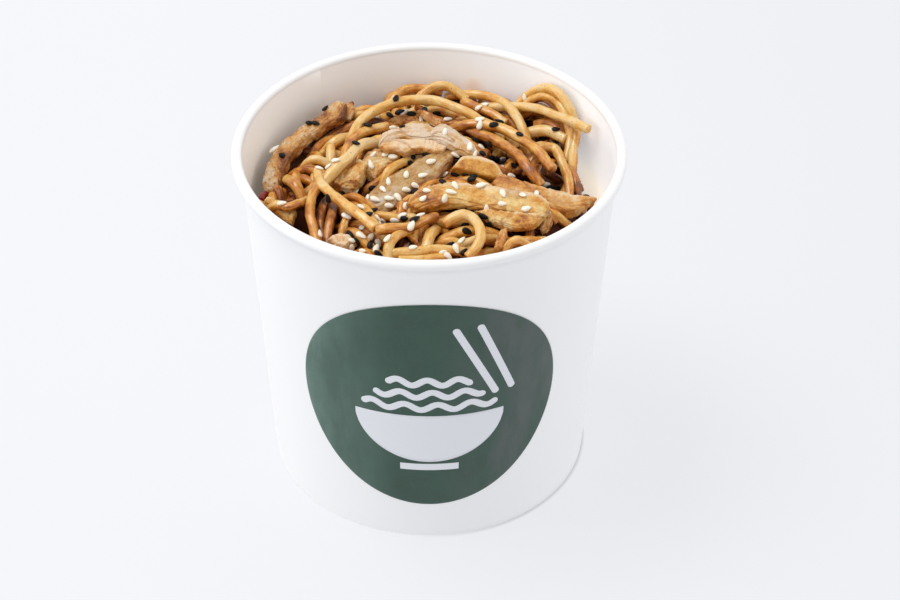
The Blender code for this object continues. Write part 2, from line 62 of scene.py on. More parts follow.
cameraForward = unit(photoView["forward"])
cameraRight = np.array(photoView["right"])
cameraRight = unit(cameraRight - cameraForward * (cameraForward @ cameraRight))
cameraUp = np.cross(cameraRight, cameraForward)
cameraPlace = np.array(photoView["place"]) * mm


def addCamera():
    data = bpy.data.cameras.new("photoCamera")
    data.sensor_width = photoView["sensor"]
    data.lens = photoView["focal"] * photoView["sensor"] / photoView["width"]
    data.clip_start = 0.01
    camera = bpy.data.objects.new("photoCamera", data)
    turn = np.column_stack([cameraRight, cameraUp, -cameraForward, cameraPlace])
    camera.matrix_world = Matrix(np.vstack([turn, [0, 0, 0, 1]]).tolist())
    bpy.context.scene.collection.objects.link(camera)
    bpy.context.scene.camera = camera


def rayThrough(pixels):
    # Direction from the camera through each pixel: focal * forward + x * right - y * up
    pixels = np.asarray(pixels, float)
    across = pixels[:, 0] - photoView["width"] / 2
    down = pixels[:, 1] - photoView["height"] / 2
    return unit(photoView["focal"] * cameraForward + across[:, None] * cameraRight - down[:, None] * cameraUp)


# Node trees

def newMaterial(name, **values):
    made = bpy.data.materials.new(name)
    made.use_nodes = True
    shader = made.node_tree.nodes["Principled BSDF"]
    for key, value in values.items():
        shader.inputs[key.replace("_", " ")].default_value = value
    return made, made.node_tree, shader


def addNode(tree, kind, inputs=(), **settings):
    node = tree.nodes.new("ShaderNode" + kind)
    for key, value in settings.items():
        setattr(node, key, value)
    for key, value in dict(inputs).items():
        if isinstance(value, bpy.types.NodeSocket):
            tree.links.new(value, node.inputs[key])
        else:
            node.inputs[key].default_value = value
    return node


def objectPlace(tree):
    return addNode(tree, "TexCoord").outputs["Object"]


def noiseOf(tree, vector, scale, detail, roughness=0.55):
    return addNode(tree, "TexNoise", {"Vector": vector, "Scale": scale, "Detail": detail,
                                      "Roughness": roughness}).outputs["Fac"]


def spread(tree, value, low, high, newLow=0.0, newHigh=1.0):
    return addNode(tree, "MapRange", {"Value": value, "From Min": low, "From Max": high,
                                      "To Min": newLow, "To Max": newHigh}).outputs["Result"]


def calculate(tree, operation, first, second):
    return addNode(tree, "Math", {0: first, 1: second}, operation=operation).outputs[0]


def times(tree, first, second):
    return calculate(tree, "MULTIPLY", first, second)


def plus(tree, first, second):
    return calculate(tree, "ADD", first, second)


def blendColours(tree, share, first, second, mode="MIX"):
    node = addNode(tree, "Mix", data_type="RGBA", blend_type=mode)
    for socket, value in ((node.inputs[0], share), (node.inputs[6], first), (node.inputs[7], second)):
        if isinstance(value, bpy.types.NodeSocket):
            tree.links.new(value, socket)
        elif isinstance(value, tuple):
            socket.default_value = (*value, 1.0)
        else:
            socket.default_value = value
    return node.outputs[2]


def readMark(tree, name):
    return addNode(tree, "Attribute", attribute_name=name).outputs["Fac"]


def axisOf(tree, place, axis):
    return addNode(tree, "SeparateXYZ", {0: place}).outputs[axis]


def joinAxes(tree, x, y, z=0.0):
    return addNode(tree, "CombineXYZ", {0: x, 1: y, 2: z}).outputs[0]


def rampOf(tree, share, stops):
    # Colour ramp through stops of (position, colour)
    ramp = addNode(tree, "ValToRGB", {0: share})
    elements = ramp.color_ramp.elements
    for element, (position, colour) in zip(elements[:], (stops[0], stops[-1])):
        element.position, element.color = position, (*colour, 1)
    for position, colour in stops[1:-1]:
        elements.new(position).color = (*colour, 1)
    return ramp.outputs["Color"]


def roughen(tree, shader, height, distance, strength):
    bump = addNode(tree, "Bump", {"Height": height, "Distance": distance, "Strength": strength})
    tree.links.new(bump.outputs["Normal"], shader.inputs["Normal"])


# Surfaces on grids

def lumps(points, size, seed):
    # Value noise from -1 to 1: random numbers on a cubic lattice with this spacing, blended
    # between the eight corners round a point by 3t^2 - 2t^3
    cells, shift = 32, 500.5    # the lattice repeats after 32 cells, and starts off the origin
    table = np.random.default_rng(seed).uniform(-1, 1, (cells, cells, cells))
    place = np.asarray(points) / size + shift
    cell = np.floor(place).astype(int)
    part = place - cell
    part = part * part * (3 - 2 * part)
    total = 0.0
    for corner in np.ndindex(2, 2, 2):
        weight = np.where(corner, part, 1 - part).prod(axis=-1)
        spot = (cell + np.array(corner)) % cells
        total = total + weight * table[spot[..., 0], spot[..., 1], spot[..., 2]]
    return total


def gridFaces(rows, columns, loop):
    # Faces between neighbours, and fans from the end rows to the two points that follow the grid
    i, j = np.meshgrid(np.arange(rows if loop else rows - 1), np.arange(columns), indexing="ij")
    below, beside = (i + 1) % rows, (j + 1) % columns
    quads = np.stack([i * columns + j, below * columns + j, below * columns + beside,
                      i * columns + beside], axis=-1).reshape(-1, 4)
    around = np.arange(columns)
    ahead = (around + 1) % columns
    lastRow, tip = (rows - 1) * columns, np.full(columns, rows * columns)
    fans = np.vstack([np.column_stack([tip, around, ahead]),
                      np.column_stack([tip + 1, lastRow + ahead, lastRow + around])])
    return quads, (fans[:0] if loop else fans)


def surfaceMesh(name, grids, loop=False, marks=None):
    # Each grid is rows x columns x 3. Columns close on themselves. Rows close on themselves with
    # loop, or else each end row closes on its middle. Signed volume says which way faces point.
    marks = marks or {}
    points, corners, sizes = [], [], []
    values = {key: [] for key in marks}
    start = 0
    for number, grid in enumerate(grids):
        quads, fans = gridFaces(*grid.shape[:2], loop)
        everything = grid.reshape(-1, 3)
        if not loop:
            everything = np.vstack([everything, grid[0].mean(axis=0), grid[-1].mean(axis=0)])
        a, b, c, d = (everything[quads[:, k]] for k in range(4))
        volume = (np.cross(a, b) * c).sum() + (np.cross(a, c) * d).sum()
        if volume < 0:
            quads, fans = quads[:, ::-1], fans[:, ::-1]
        points.append(everything)
        corners += [(quads + start).ravel(), (fans + start).ravel()]
        sizes += [np.full(len(quads), 4), np.full(len(fans), 3)]
        for key in marks:
            each = np.asarray(marks[key][number], float)
            tips = [] if loop else [each[0].mean(), each[-1].mean()]
            values[key].append(np.concatenate([each.ravel(), tips]))
        start += len(everything)
    points, corners, sizes = np.vstack(points), np.concatenate(corners), np.concatenate(sizes)
    starts = np.concatenate([[0], np.cumsum(sizes)[:-1]])
    mesh = bpy.data.meshes.new(name)
    mesh.vertices.add(len(points))
    mesh.vertices.foreach_set("co", points.ravel())
    mesh.loops.add(len(corners))
    mesh.loops.foreach_set("vertex_index", corners.astype(np.int32))
    mesh.polygons.add(len(sizes))
    mesh.polygons.foreach_set("loop_start", starts.astype(np.int32))
    mesh.update(calc_edges=True)
    for key in marks:
        mesh.attributes.new(key, "FLOAT", "POINT").data.foreach_set("value", np.concatenate(values[key]))
    mesh.shade_smooth()
    return mesh


def runOf(curve):
    return np.concatenate([[0], np.cumsum(np.linalg.norm(np.diff(curve, axis=0), axis=1))])


def pointsAt(curve, places):
    run = runOf(curve)
    return np.column_stack([np.interp(places, run, curve[:, k]) for k in range(curve.shape[1])])


def addPiece(name, mesh, material, slot, *nodes):
    piece = bpy.data.objects.new(name, mesh)
    bpy.context.scene.collection.objects.link(piece)
    mesh.materials.append(material)
    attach(piece, "root")
    if nodes:
        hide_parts(*nodes)
    print(f"{name}: {len(mesh.polygons)} faces")
    return piece


def revolve(profile, angles):
    # Each (radius, height) of the profile turned about Z: (r cos a, r sin a, z)
    radius, height = profile[..., 0], profile[..., 1]
    return np.stack([radius * np.cos(angles), radius * np.sin(angles), height + 0 * angles], axis=-1)


# Tub

tub = dict(rimRadius=58.5, beadRadius=1.6, beadEnd=-78, height=112.0, footRadius=49.5, paper=0.7,
           belowBead=0.25, belowRim=0.4, footRound=0.35, hemHeight=5.5, hemRound=0.3, floorHeight=7.0,
           skirtGap=0.3, columns=360, wallRows=26)
# The lap of the paper starts at an angle in degrees. edge is how far its step takes to rise.
seam = dict(angle=128.0, lap=9.0, edge=0.12, step=0.32, outerShare=0.8, lineHalf=0.2)
unevenness = dict(deep=0.10, size=34.0, calm=12.0, top=108.0)    # of the wall, none near foot and rim


def wallRadius(height):
    top = tub["rimRadius"] - 2 * tub["beadRadius"] + tub["paper"]
    return tub["footRadius"] + (top - tub["footRadius"]) * height / (tub["height"] - tub["beadRadius"])


def innerRadius(height):
    return wallRadius(height) - tub["paper"]


def arc(middle, radius, fromAngle, toAngle, count):
    turn = np.radians(np.linspace(fromAngle, toAngle, count))
    return np.column_stack([middle[0] + radius * np.cos(turn), middle[1] + radius * np.sin(turn)])


def tubProfile():
    # Closed profile of (radius, height): bead from the inner wall over the rim, outer wall, rounded
    # foot, hem and inner wall, and beside it 1 on the outer wall, -1 on the inner one and 0 elsewhere
    bead, paperThick = tub["beadRadius"], tub["paper"]
    footRound, hemRound = tub["footRound"], tub["hemRound"]
    beadHeight = tub["height"] - bead
    hemOuter = tub["footRadius"] - 2 * paperThick - 2 * tub["skirtGap"]
    outer = np.linspace(tub["height"] - 2 * bead - tub["belowBead"], 2 * footRound, tub["wallRows"])
    inner = np.linspace(paperThick, beadHeight - tub["belowRim"], tub["wallRows"])
    parts = [
        arc((tub["rimRadius"] - bead, beadHeight), bead, 180, tub["beadEnd"], 26),
        np.column_stack([wallRadius(outer), outer]),
        arc((tub["footRadius"] - footRound, footRound), footRound, 0, -90, 5),
        arc((hemOuter - paperThick + hemRound, hemRound), hemRound, -90, -180, 4),
        arc((hemOuter - paperThick / 2, tub["hemHeight"] - footRound), footRound, 180, 0, 7),
        [(hemOuter, paperThick), (innerRadius(paperThick), paperThick)],
        np.column_stack([innerRadius(inner), inner]),
    ]
    sides = (0.0, 1.0, 0.0, 0.0, 0.0, 0.0, -1.0)
    return np.vstack(parts), np.concatenate([np.full(len(part), side) for part, side in zip(parts, sides)])


def lapRise(past):
    # Share of the lap's step at some degrees past its edge: up at once, then slowly down over the lap
    return np.clip(past / seam["edge"] + 0.5, 0, 1) * np.clip(1 - past / seam["lap"], 0, 1)


def tubShell():
    # The profile turned about Z. The lap of the paper thins the inside by a step at the seam and
    # thickens the outside, and broad lumps push the wall in and out.
    profile, facing = tubProfile()
    height, inside, outside = profile[:, 1:], np.clip(-facing[:, None], 0, 1), np.clip(facing[:, None], 0, 1)
    angles = np.linspace(0, 360, tub["columns"], endpoint=False)
    closeBy = np.array([-0.25, -0.06, 0.06, 0.25])
    lapEnd = seam["angle"] + seam["lap"]
    angles = np.sort(np.concatenate([angles + 0.5, seam["angle"] + closeBy, lapEnd + closeBy]))
    radius = profile[:, :1] - seam["step"] * inside * lapRise(angles - seam["angle"])
    radius = radius + seam["outerShare"] * seam["step"] * outside * lapRise(lapEnd - angles)
    turned = revolve(np.stack([radius, height + 0 * radius], axis=-1), np.radians(angles))
    calm = unevenness["calm"]
    free = (np.abs(facing)[:, None] * np.clip(height / calm, 0, 1)
            * np.clip((unevenness["top"] - height) / calm, 0, 1))
    push = unevenness["deep"] * lumps(turned, unevenness["size"], 3) * free
    turned[..., :2] += unit(turned[..., :2]) * push[..., None]
    line = np.clip(1 - np.abs(angles - seam["angle"]) / seam["lineHalf"], 0, 1)
    same = 0 * turned[..., 0]
    return surfaceMesh("tubShell", [turned * mm], loop=True,
                       marks={"inside": [inside + same], "seam": [line + same]})


def tubFloor():
    # Disc with a skirt: the profile (radius, height) from the middle out, down, and back under
    skirt = tub["footRadius"] - tub["paper"] - tub["skirtGap"]
    low = tub["paper"] + tub["skirtGap"]
    top, under = tub["floorHeight"], tub["floorHeight"] - tub["paper"]
    bend, columns = tub["hemRound"], tub["columns"] // 2
    reach = np.linspace(0.5, skirt - bend, 12)
    profile = np.vstack([
        np.column_stack([reach, top + 0 * reach]),
        arc((skirt - bend, top - bend), bend, 80, 0, 4),
        [(skirt, low), (skirt - tub["paper"], low), (skirt - tub["paper"], under - 0.2)],
        np.column_stack([reach[-2::-1], under + 0 * reach[1:]]),
    ])
    angles = np.radians(np.linspace(0, 360, columns, endpoint=False))
    turned = revolve(np.broadcast_to(profile[:, None], (len(profile), columns, 2)), angles)
    zeros = np.zeros(turned.shape[:2])
    return surfaceMesh("tubBase", [turned * mm], marks={"inside": [zeros], "seam": [zeros]})


# warm tints the inside above the food line, in metres: a sauce tint and painted warm bounce light from the
# food. The seam gets painted shade along the edge of its lap. daylight is a painted glow on the inside for
# the light that comes through the thin wall: shine in the left, the right and the low right of it.
paperFinish = dict(white=(0.905, 0.908, 0.910), warm=(0.80, 0.70, 0.57), warmShare=0.16, foodLine=0.101,
                   tintReach=0.010, wander=0.006, lapEdgeShade=(0.60, 0.47, 0.33), lapEdgeShadeShare=0.55,
                   daylightLeft=(1.0, 0.92, 0.78), daylightRight=(0.80, 0.95, 1.12), shineLeft=0.12,
                   shineRight=0.21, shineLow=0.50, lowFrom=0.102, lowTo=0.086)
# Brown patches inside the wall near the food, part sauce smear and part painted shade and reflection
# of the food: middle and reach in metres, how much each covers
smearsAndShade = [dict(at=(0.014, 0.053, 0.0985), reach=0.0045, colour=(0.80, 0.50, 0.22), share=0.55),
          dict(at=(0.0495, 0.021, 0.083), reach=0.0080, colour=(0.76, 0.58, 0.36), share=0.50),
          dict(at=(-0.052, 0.012, 0.087), reach=0.0090, colour=(0.62, 0.46, 0.30), share=0.70),
          dict(at=(-0.036, 0.041, 0.094), reach=0.0060, colour=(0.62, 0.48, 0.33), share=0.50)]


def paperColour(tree, place, height, inside):
    finish = paperFinish
    wander = noiseOf(tree, place, 130.0, 2.0)
    line = plus(tree, height, times(tree, wander, finish["wander"]))
    # Near the food line: a sauce tint and painted warm bounce light from the food
    near = spread(tree, line, finish["foodLine"], finish["foodLine"] + finish["tintReach"], 1.0, 0.0)
    tint = times(tree, times(tree, near, inside), finish["warmShare"])
    colour = blendColours(tree, tint, finish["white"], finish["warm"])
    ragged = times(tree, wander, 0.004)
    # Brown patches: part sauce smear, part painted shade and reflection of the food
    for smearAndShade in smearsAndShade:
        away = addNode(tree, "VectorMath", {0: place, 1: smearAndShade["at"]}, operation="DISTANCE").outputs["Value"]
        far, close = smearAndShade["reach"] + 0.002, 0.3 * smearAndShade["reach"] + 0.002
        blot = spread(tree, plus(tree, away, ragged), far, close, 0.0, smearAndShade["share"])
        colour = blendColours(tree, times(tree, blot, inside), colour, smearAndShade["colour"])
    # Painted shade along the edge of the seam's lap
    lapEdgeShade = times(tree, times(tree, readMark(tree, "seam"), inside), finish["lapEdgeShadeShare"])
    return blendColours(tree, lapEdgeShade, colour, finish["lapEdgeShade"])


def paintedDaylight(tree, place, height):
    # Painted glow of the inside wall for light through the paper, brighter at the right and the low right,
    # where it takes away shade
    finish = paperFinish
    side = axisOf(tree, place, "X")
    low = spread(tree, height, finish["lowFrom"], finish["lowTo"])
    low = times(tree, spread(tree, side, 0.03, 0.05), low)
    shine = spread(tree, side, -0.02, 0.05, finish["shineLeft"], finish["shineRight"])
    shine = plus(tree, shine, times(tree, low, finish["shineLow"]))
    colour = blendColours(tree, spread(tree, side, -0.035, 0.02), finish["daylightLeft"],
                          finish["daylightRight"])
    return blendColours(tree, low, colour, finish["daylightLeft"]), shine


def paperMaterial():
    made, tree, shader = newMaterial("coatedPaper", Roughness=0.42, Specular_IOR_Level=0.45)
    place, inside = objectPlace(tree), readMark(tree, "inside")
    height = axisOf(tree, place, "Z")
    tree.links.new(paperColour(tree, place, height, inside), shader.inputs["Base Color"])
    # Painted glow on the inside of the wall
    daylight, shine = paintedDaylight(tree, place, height)
    tree.links.new(daylight, shader.inputs["Emission Color"])
    tree.links.new(times(tree, inside, shine), shader.inputs["Emission Strength"])
    grain = noiseOf(tree, place, 900.0, 4.0)
    tree.links.new(spread(tree, grain, 0.3, 0.7, 0.36, 0.50), shader.inputs["Roughness"])
    roughen(tree, shader, noiseOf(tree, place, 1600.0, 3.0), 0.00003, 0.35)
    return made


paper = paperMaterial()
addPiece("tubShell", tubShell(), paper, "tub_paper", "tub_wall")
addPiece("tubBase", tubFloor(), paper, "tub_paper", "tub_floor")


# Sticker on the front: a disc wound on the wall's cone, with a plain bowl motif

sticker = dict(radius=40.4, middle=54.7, lift=0.06, thickness=0.24, rings=30, steps=180, slack=0.05,
               slackSize=13.0)
# deep and green are the film's own cloudy colour and scuff its wear; the left and right gloss colours are
# painted reflections
filmColours = dict(deep=(0.013, 0.053, 0.033), green=(0.024, 0.077, 0.051), leftPaintedSheen=(0.115, 0.205, 0.170),
                   rightPaintedSheen=(0.066, 0.086, 0.082), scuff=(0.040, 0.085, 0.064), scuffShare=0.35)


def ontoWall(along, up, clear):
    # A flat point (along, up) wound on the cone: angle = along / wall radius at the middle
    height = sticker["middle"] + up
    radius = wallRadius(height) + clear
    angle = along / wallRadius(sticker["middle"])
    return np.stack([radius * np.sin(angle), -radius * np.cos(angle), height], axis=-1)


def stickerDisc():
    # Polar grid of the face, its rounded edge and its back: (r cos a, r sin a) on the wall
    reach, lift, rings = sticker["radius"], sticker["lift"], sticker["rings"]
    face = lift + sticker["thickness"]
    out = np.concatenate([np.linspace(0.02, 0.985, rings), [0.995, 1.0, 1.0, 0.995],
                          np.linspace(0.95, 0.02, 8)]) * reach
    clear = np.concatenate([np.full(rings, face), [face - 0.02, face - 0.08, lift + 0.04], np.full(9, lift)])
    turn = np.linspace(0, 2 * math.pi, sticker["steps"], endpoint=False)
    along, up = out[:, None] * np.cos(turn), out[:, None] * np.sin(turn)
    flat = np.stack([along, up, 0 * up], axis=-1)
    onFace = (clear[:, None] > 0.2) * (out[:, None] < 0.97 * reach)
    wave = sticker["slack"] * lumps(flat, sticker["slackSize"], 5) * onFace
    return surfaceMesh("stickerDisc", [ontoWall(along, up, clear[:, None] + wave) * mm],
                       marks={"along": [along], "up": [up]})


def stickerMaterial():
    # Its place is counted in units of 40 mm. Streaks of painted reflection run up and down it at its left and
    # right.
    made, tree, shader = newMaterial("greenFilm", Roughness=0.38, Specular_IOR_Level=0.5)
    along, up = (times(tree, readMark(tree, name), 1 / 40) for name in ("along", "up"))
    place = joinAxes(tree, along, up)
    streaks = addNode(tree, "Mapping", {"Vector": place, "Scale": (1.0, 0.35, 1.0)}).outputs[0]
    cloud = noiseOf(tree, place, 2.6, 3.0, 0.6)
    stripe = noiseOf(tree, streaks, 3.2, 4.0, 0.6)
    fine = noiseOf(tree, place, 40.0, 5.0, 0.7)
    # Painted reflections: pale streaks at the left, grey ones at the right
    left = times(tree, spread(tree, along, -0.25, -1.0), spread(tree, stripe, 0.36, 0.62, 1.0, 0.35))
    right = times(tree, spread(tree, along, 0.05, 0.55), spread(tree, stripe, 0.40, 0.62, 1.0, 0.1))
    scuff = spread(tree, fine, 0.45, 0.75, 0.0, filmColours["scuffShare"])
    colour = blendColours(tree, spread(tree, cloud, 0.35, 0.68), filmColours["deep"], filmColours["green"])
    colour = blendColours(tree, left, colour, filmColours["leftPaintedSheen"])
    colour = blendColours(tree, right, colour, filmColours["rightPaintedSheen"])
    colour = blendColours(tree, scuff, colour, filmColours["scuff"])
    tree.links.new(colour, shader.inputs["Base Color"])
    tree.links.new(spread(tree, cloud, 0.3, 0.7, 0.33, 0.5), shader.inputs["Roughness"])
    roughen(tree, shader, fine, 0.00004, 0.3)
    return made


motif = dict(ink=0.03, inkSunk=0.10, bowlTop=-3.0, bowlHalf=22.5, bowlDeep=19.0, footGap=0.9, footHalf=9.0,
             footHigh=2.6, line=2.3, waves=3, firstWave=3.6, waveGap=4.9, waveHigh=1.1, stickWide=2.2,
             sticks=[((7.0, 31.0), (20.0, 3.5)), ((14.0, 31.5), (25.0, 4.0))])


def inkSlab(along, up):
    # A thin closed slab over a grid of flat points: its face, then its back in the same order
    face = sticker["lift"] + sticker["thickness"]
    top = ontoWall(along, up, face + motif["ink"])
    back = ontoWall(along, up, face - motif["inkSunk"])
    return np.concatenate([top, back[:, ::-1]], axis=1) * mm


def inkStroke(path, width):
    # Band along a path with round ends: half width = w/2 * sqrt(1 - (1 - e)^2), where e is the way to
    # the nearer end in half widths, at most 1
    path = np.asarray(path, float)
    run = runOf(path)
    at = (0.5 - 0.5 * np.cos(np.linspace(0.02, math.pi - 0.02, 90))) * run[-1]
    line = pointsAt(path, at)
    way = unit(np.gradient(line, axis=0))
    edge = np.clip(np.minimum(at, run[-1] - at) / (width / 2), 0, 1)
    half = width / 2 * np.sqrt(1 - (1 - edge) ** 2)
    shift = np.linspace(-1, 1, 7)[None] * half[:, None]
    return inkSlab(line[:, :1] - shift * way[:, 1:], line[:, 1:] + shift * way[:, :1])


def stickerMotif():
    # Bowl between a straight rim and the arc y = -deep * sqrt(1 - 0.985 x^2), a bar for its foot,
    # sine waves over it and two straight sticks
    x = np.linspace(-1, 1, 60)[:, None]
    share = np.linspace(0, 1, 12)[None]
    depth = motif["bowlDeep"] * np.sqrt(1 - 0.985 * x**2)
    footTop = motif["bowlTop"] - motif["bowlDeep"] - motif["footGap"]
    grids = [inkSlab(motif["bowlHalf"] * x + 0 * share, motif["bowlTop"] - depth * share),
             inkSlab(motif["footHalf"] * x + 0 * share, footTop - motif["footHigh"] * share + 0 * x)]
    run = np.linspace(-1, 1, 120)
    for row in range(motif["waves"]):
        reach = motif["bowlHalf"] * (0.90 - 0.17 * row)
        lift = motif["bowlTop"] + motif["firstWave"] + motif["waveGap"] * row
        wave = lift + motif["waveHigh"] * np.sin(run * (13 - 2 * row) + row)
        grids.append(inkStroke(np.column_stack([reach * run, wave]), motif["line"]))
    along = np.linspace(0, 1, 30)[:, None]
    for top, foot in motif["sticks"]:
        grids.append(inkStroke(np.array(top) + along * (np.array(foot) - top), motif["stickWide"]))
    return surfaceMesh("stickerMotif", grids)


greenFilm = stickerMaterial()
addPiece("stickerDisc", stickerDisc(), greenFilm, "sticker", "sticker")
paleInk = newMaterial("paleInk", Base_Color=(0.76, 0.78, 0.82, 1), Roughness=0.42)[0]
addPiece("stickerMotif", stickerMotif(), paleInk, "sticker")


# Lines through the food

def curveThrough(route):
    # Catmull-Rom curve through a route's points, as close points
    route = np.asarray(route, float)
    route = np.vstack([2 * route[0] - route[1], route, 2 * route[-1] - route[-2]])
    share = np.linspace(0, 1, 30, endpoint=False)[None, :, None]
    a, b, c, d = (route[k:len(route) - 3 + k, None] for k in range(4))
    curve = 0.5 * (2 * b + (c - a) * share + (2 * a - 5 * b + 4 * c - d) * share**2
                   + (3 * b - a - 3 * c + d) * share**3)
    return np.vstack([curve.reshape(-1, route.shape[1]), route[-2:-1]])


def evenly(curve, spacing):
    length = runOf(curve)[-1]
    return pointsAt(curve, np.linspace(0, length, max(5, int(round(length / spacing)) + 1)))


def framesAlong(line):
    # Side = way x Z and up = side x way, each of length 1
    way = unit(np.gradient(line, axis=0))
    side = unit(np.cross(way, (0.0, 0.0, 1.0)))
    return way, side, np.cross(side, way)


def signedPower(value, exponent):
    return np.sign(value) * np.abs(value) ** exponent


noodleForm = dict(end=0.42, power=0.8, thin=0.95, uneven=0.06, twist=2.4, twistSize=15.0,
                  relief=((0.13, 4.5), (0.08, 1.5), (0.03, 0.7)))


def noodleGrid(curve, radius, sides, spacing, seed):
    # Rounded square carried along the curve and slowly turned about it: cosine and sine to a power.
    # Near a cut end its size falls off by a superellipse, r = R * (1 - (1 - s/e)^4)^(1/4)
    length = runOf(curve)[-1]
    end = noodleForm["end"] * radius
    close = end * (1 - np.cos(np.linspace(0.25, math.pi / 2, 5)))
    middle = np.linspace(end, length - end, max(4, int(round((length - 2 * end) / spacing))))
    at = np.concatenate([close[:-1], middle, length - close[:-1][::-1]])
    line = pointsAt(curve, at)
    way, side, up = framesAlong(line)
    near = np.clip(np.minimum(at, length - at) / end, 0, 1)
    size = radius * (noodleForm["thin"] + noodleForm["uneven"] * lumps(line, 7.0, seed + 4))
    size = size * (1 - (1 - near) ** 4) ** (1 / 4)
    turn = np.linspace(0, 2 * math.pi, sides, endpoint=False)
    twist = noodleForm["twist"] * lumps(line, noodleForm["twistSize"], seed)[:, None]
    c, s = (signedPower(each, noodleForm["power"])[None] for each in (np.cos(turn), np.sin(turn)))
    across, rise = c * np.cos(twist) - s * np.sin(twist), c * np.sin(twist) + s * np.cos(twist)
    out = side[:, None] * across[..., None] + up[:, None] * rise[..., None]
    skin = line[:, None] + out * size[:, None, None]
    relief = sum(deep * lumps(skin, grain, seed + 1 + k)
                 for k, (deep, grain) in enumerate(noodleForm["relief"]))
    return skin + out * relief[..., None], at[:, None] + 0 * rise, across, rise


# Height maps of what is already in place, on a grid of square cells

cell = 0.5
mapHalf = 60.0
mapSize = int(2 * mapHalf / cell) + 1
mapAxis = np.linspace(-mapHalf, mapHalf, mapSize)
mapX, mapY = np.meshgrid(mapAxis, mapAxis, indexing="ij")
belowAll, aboveAll = -1.0, 999.0    # heights where there is nothing


def cellsAt(places):
    return np.clip(np.round((places + mapHalf) / cell).astype(int), 0, mapSize - 1)


def ballCells(line, radius):
    # Cells within a radius of each point, and the height of a ball's skin over them
    steps = np.arange(-int(radius / cell) - 1, int(radius / cell) + 2)
    dx, dy = (each.ravel() for each in np.meshgrid(steps, steps, indexing="ij"))
    i, j = cellsAt(line[:, :1]) + dx, cellsAt(line[:, 1:2]) + dy
    i, j = np.clip(i, 0, mapSize - 1), np.clip(j, 0, mapSize - 1)
    left = radius**2 - (mapAxis[i] - line[:, :1]) ** 2 - (mapAxis[j] - line[:, 1:2]) ** 2
    return i, j, np.sqrt(np.clip(left, 0, None)), left > 0


def restOn(heights, line, radius):
    i, j, skin, inside = ballCells(line, radius)
    return np.where(inside, heights[i, j] + skin, belowAll).max(axis=1)


def raiseMap(heights, line, radius):
    i, j, skin, inside = ballCells(line, radius)
    np.maximum.at(heights, (i, j), np.where(inside, line[:, 2:3] + skin, belowAll))


def lowerMap(heights, line, radius):
    i, j, skin, inside = ballCells(line, radius)
    np.minimum.at(heights, (i, j), np.where(inside, line[:, 2:3] - skin, aboveAll))


heap = dict(atWall=99.0, rise=3.5)


def moundHeight(x, y):
    # Height that the middles of the upper noodles follow: wall height + rise * (1 - (r / wall)^2)
    share = np.hypot(x, y) / innerRadius(heap["atWall"])
    return heap["atWall"] + heap["rise"] * (1 - share**2)
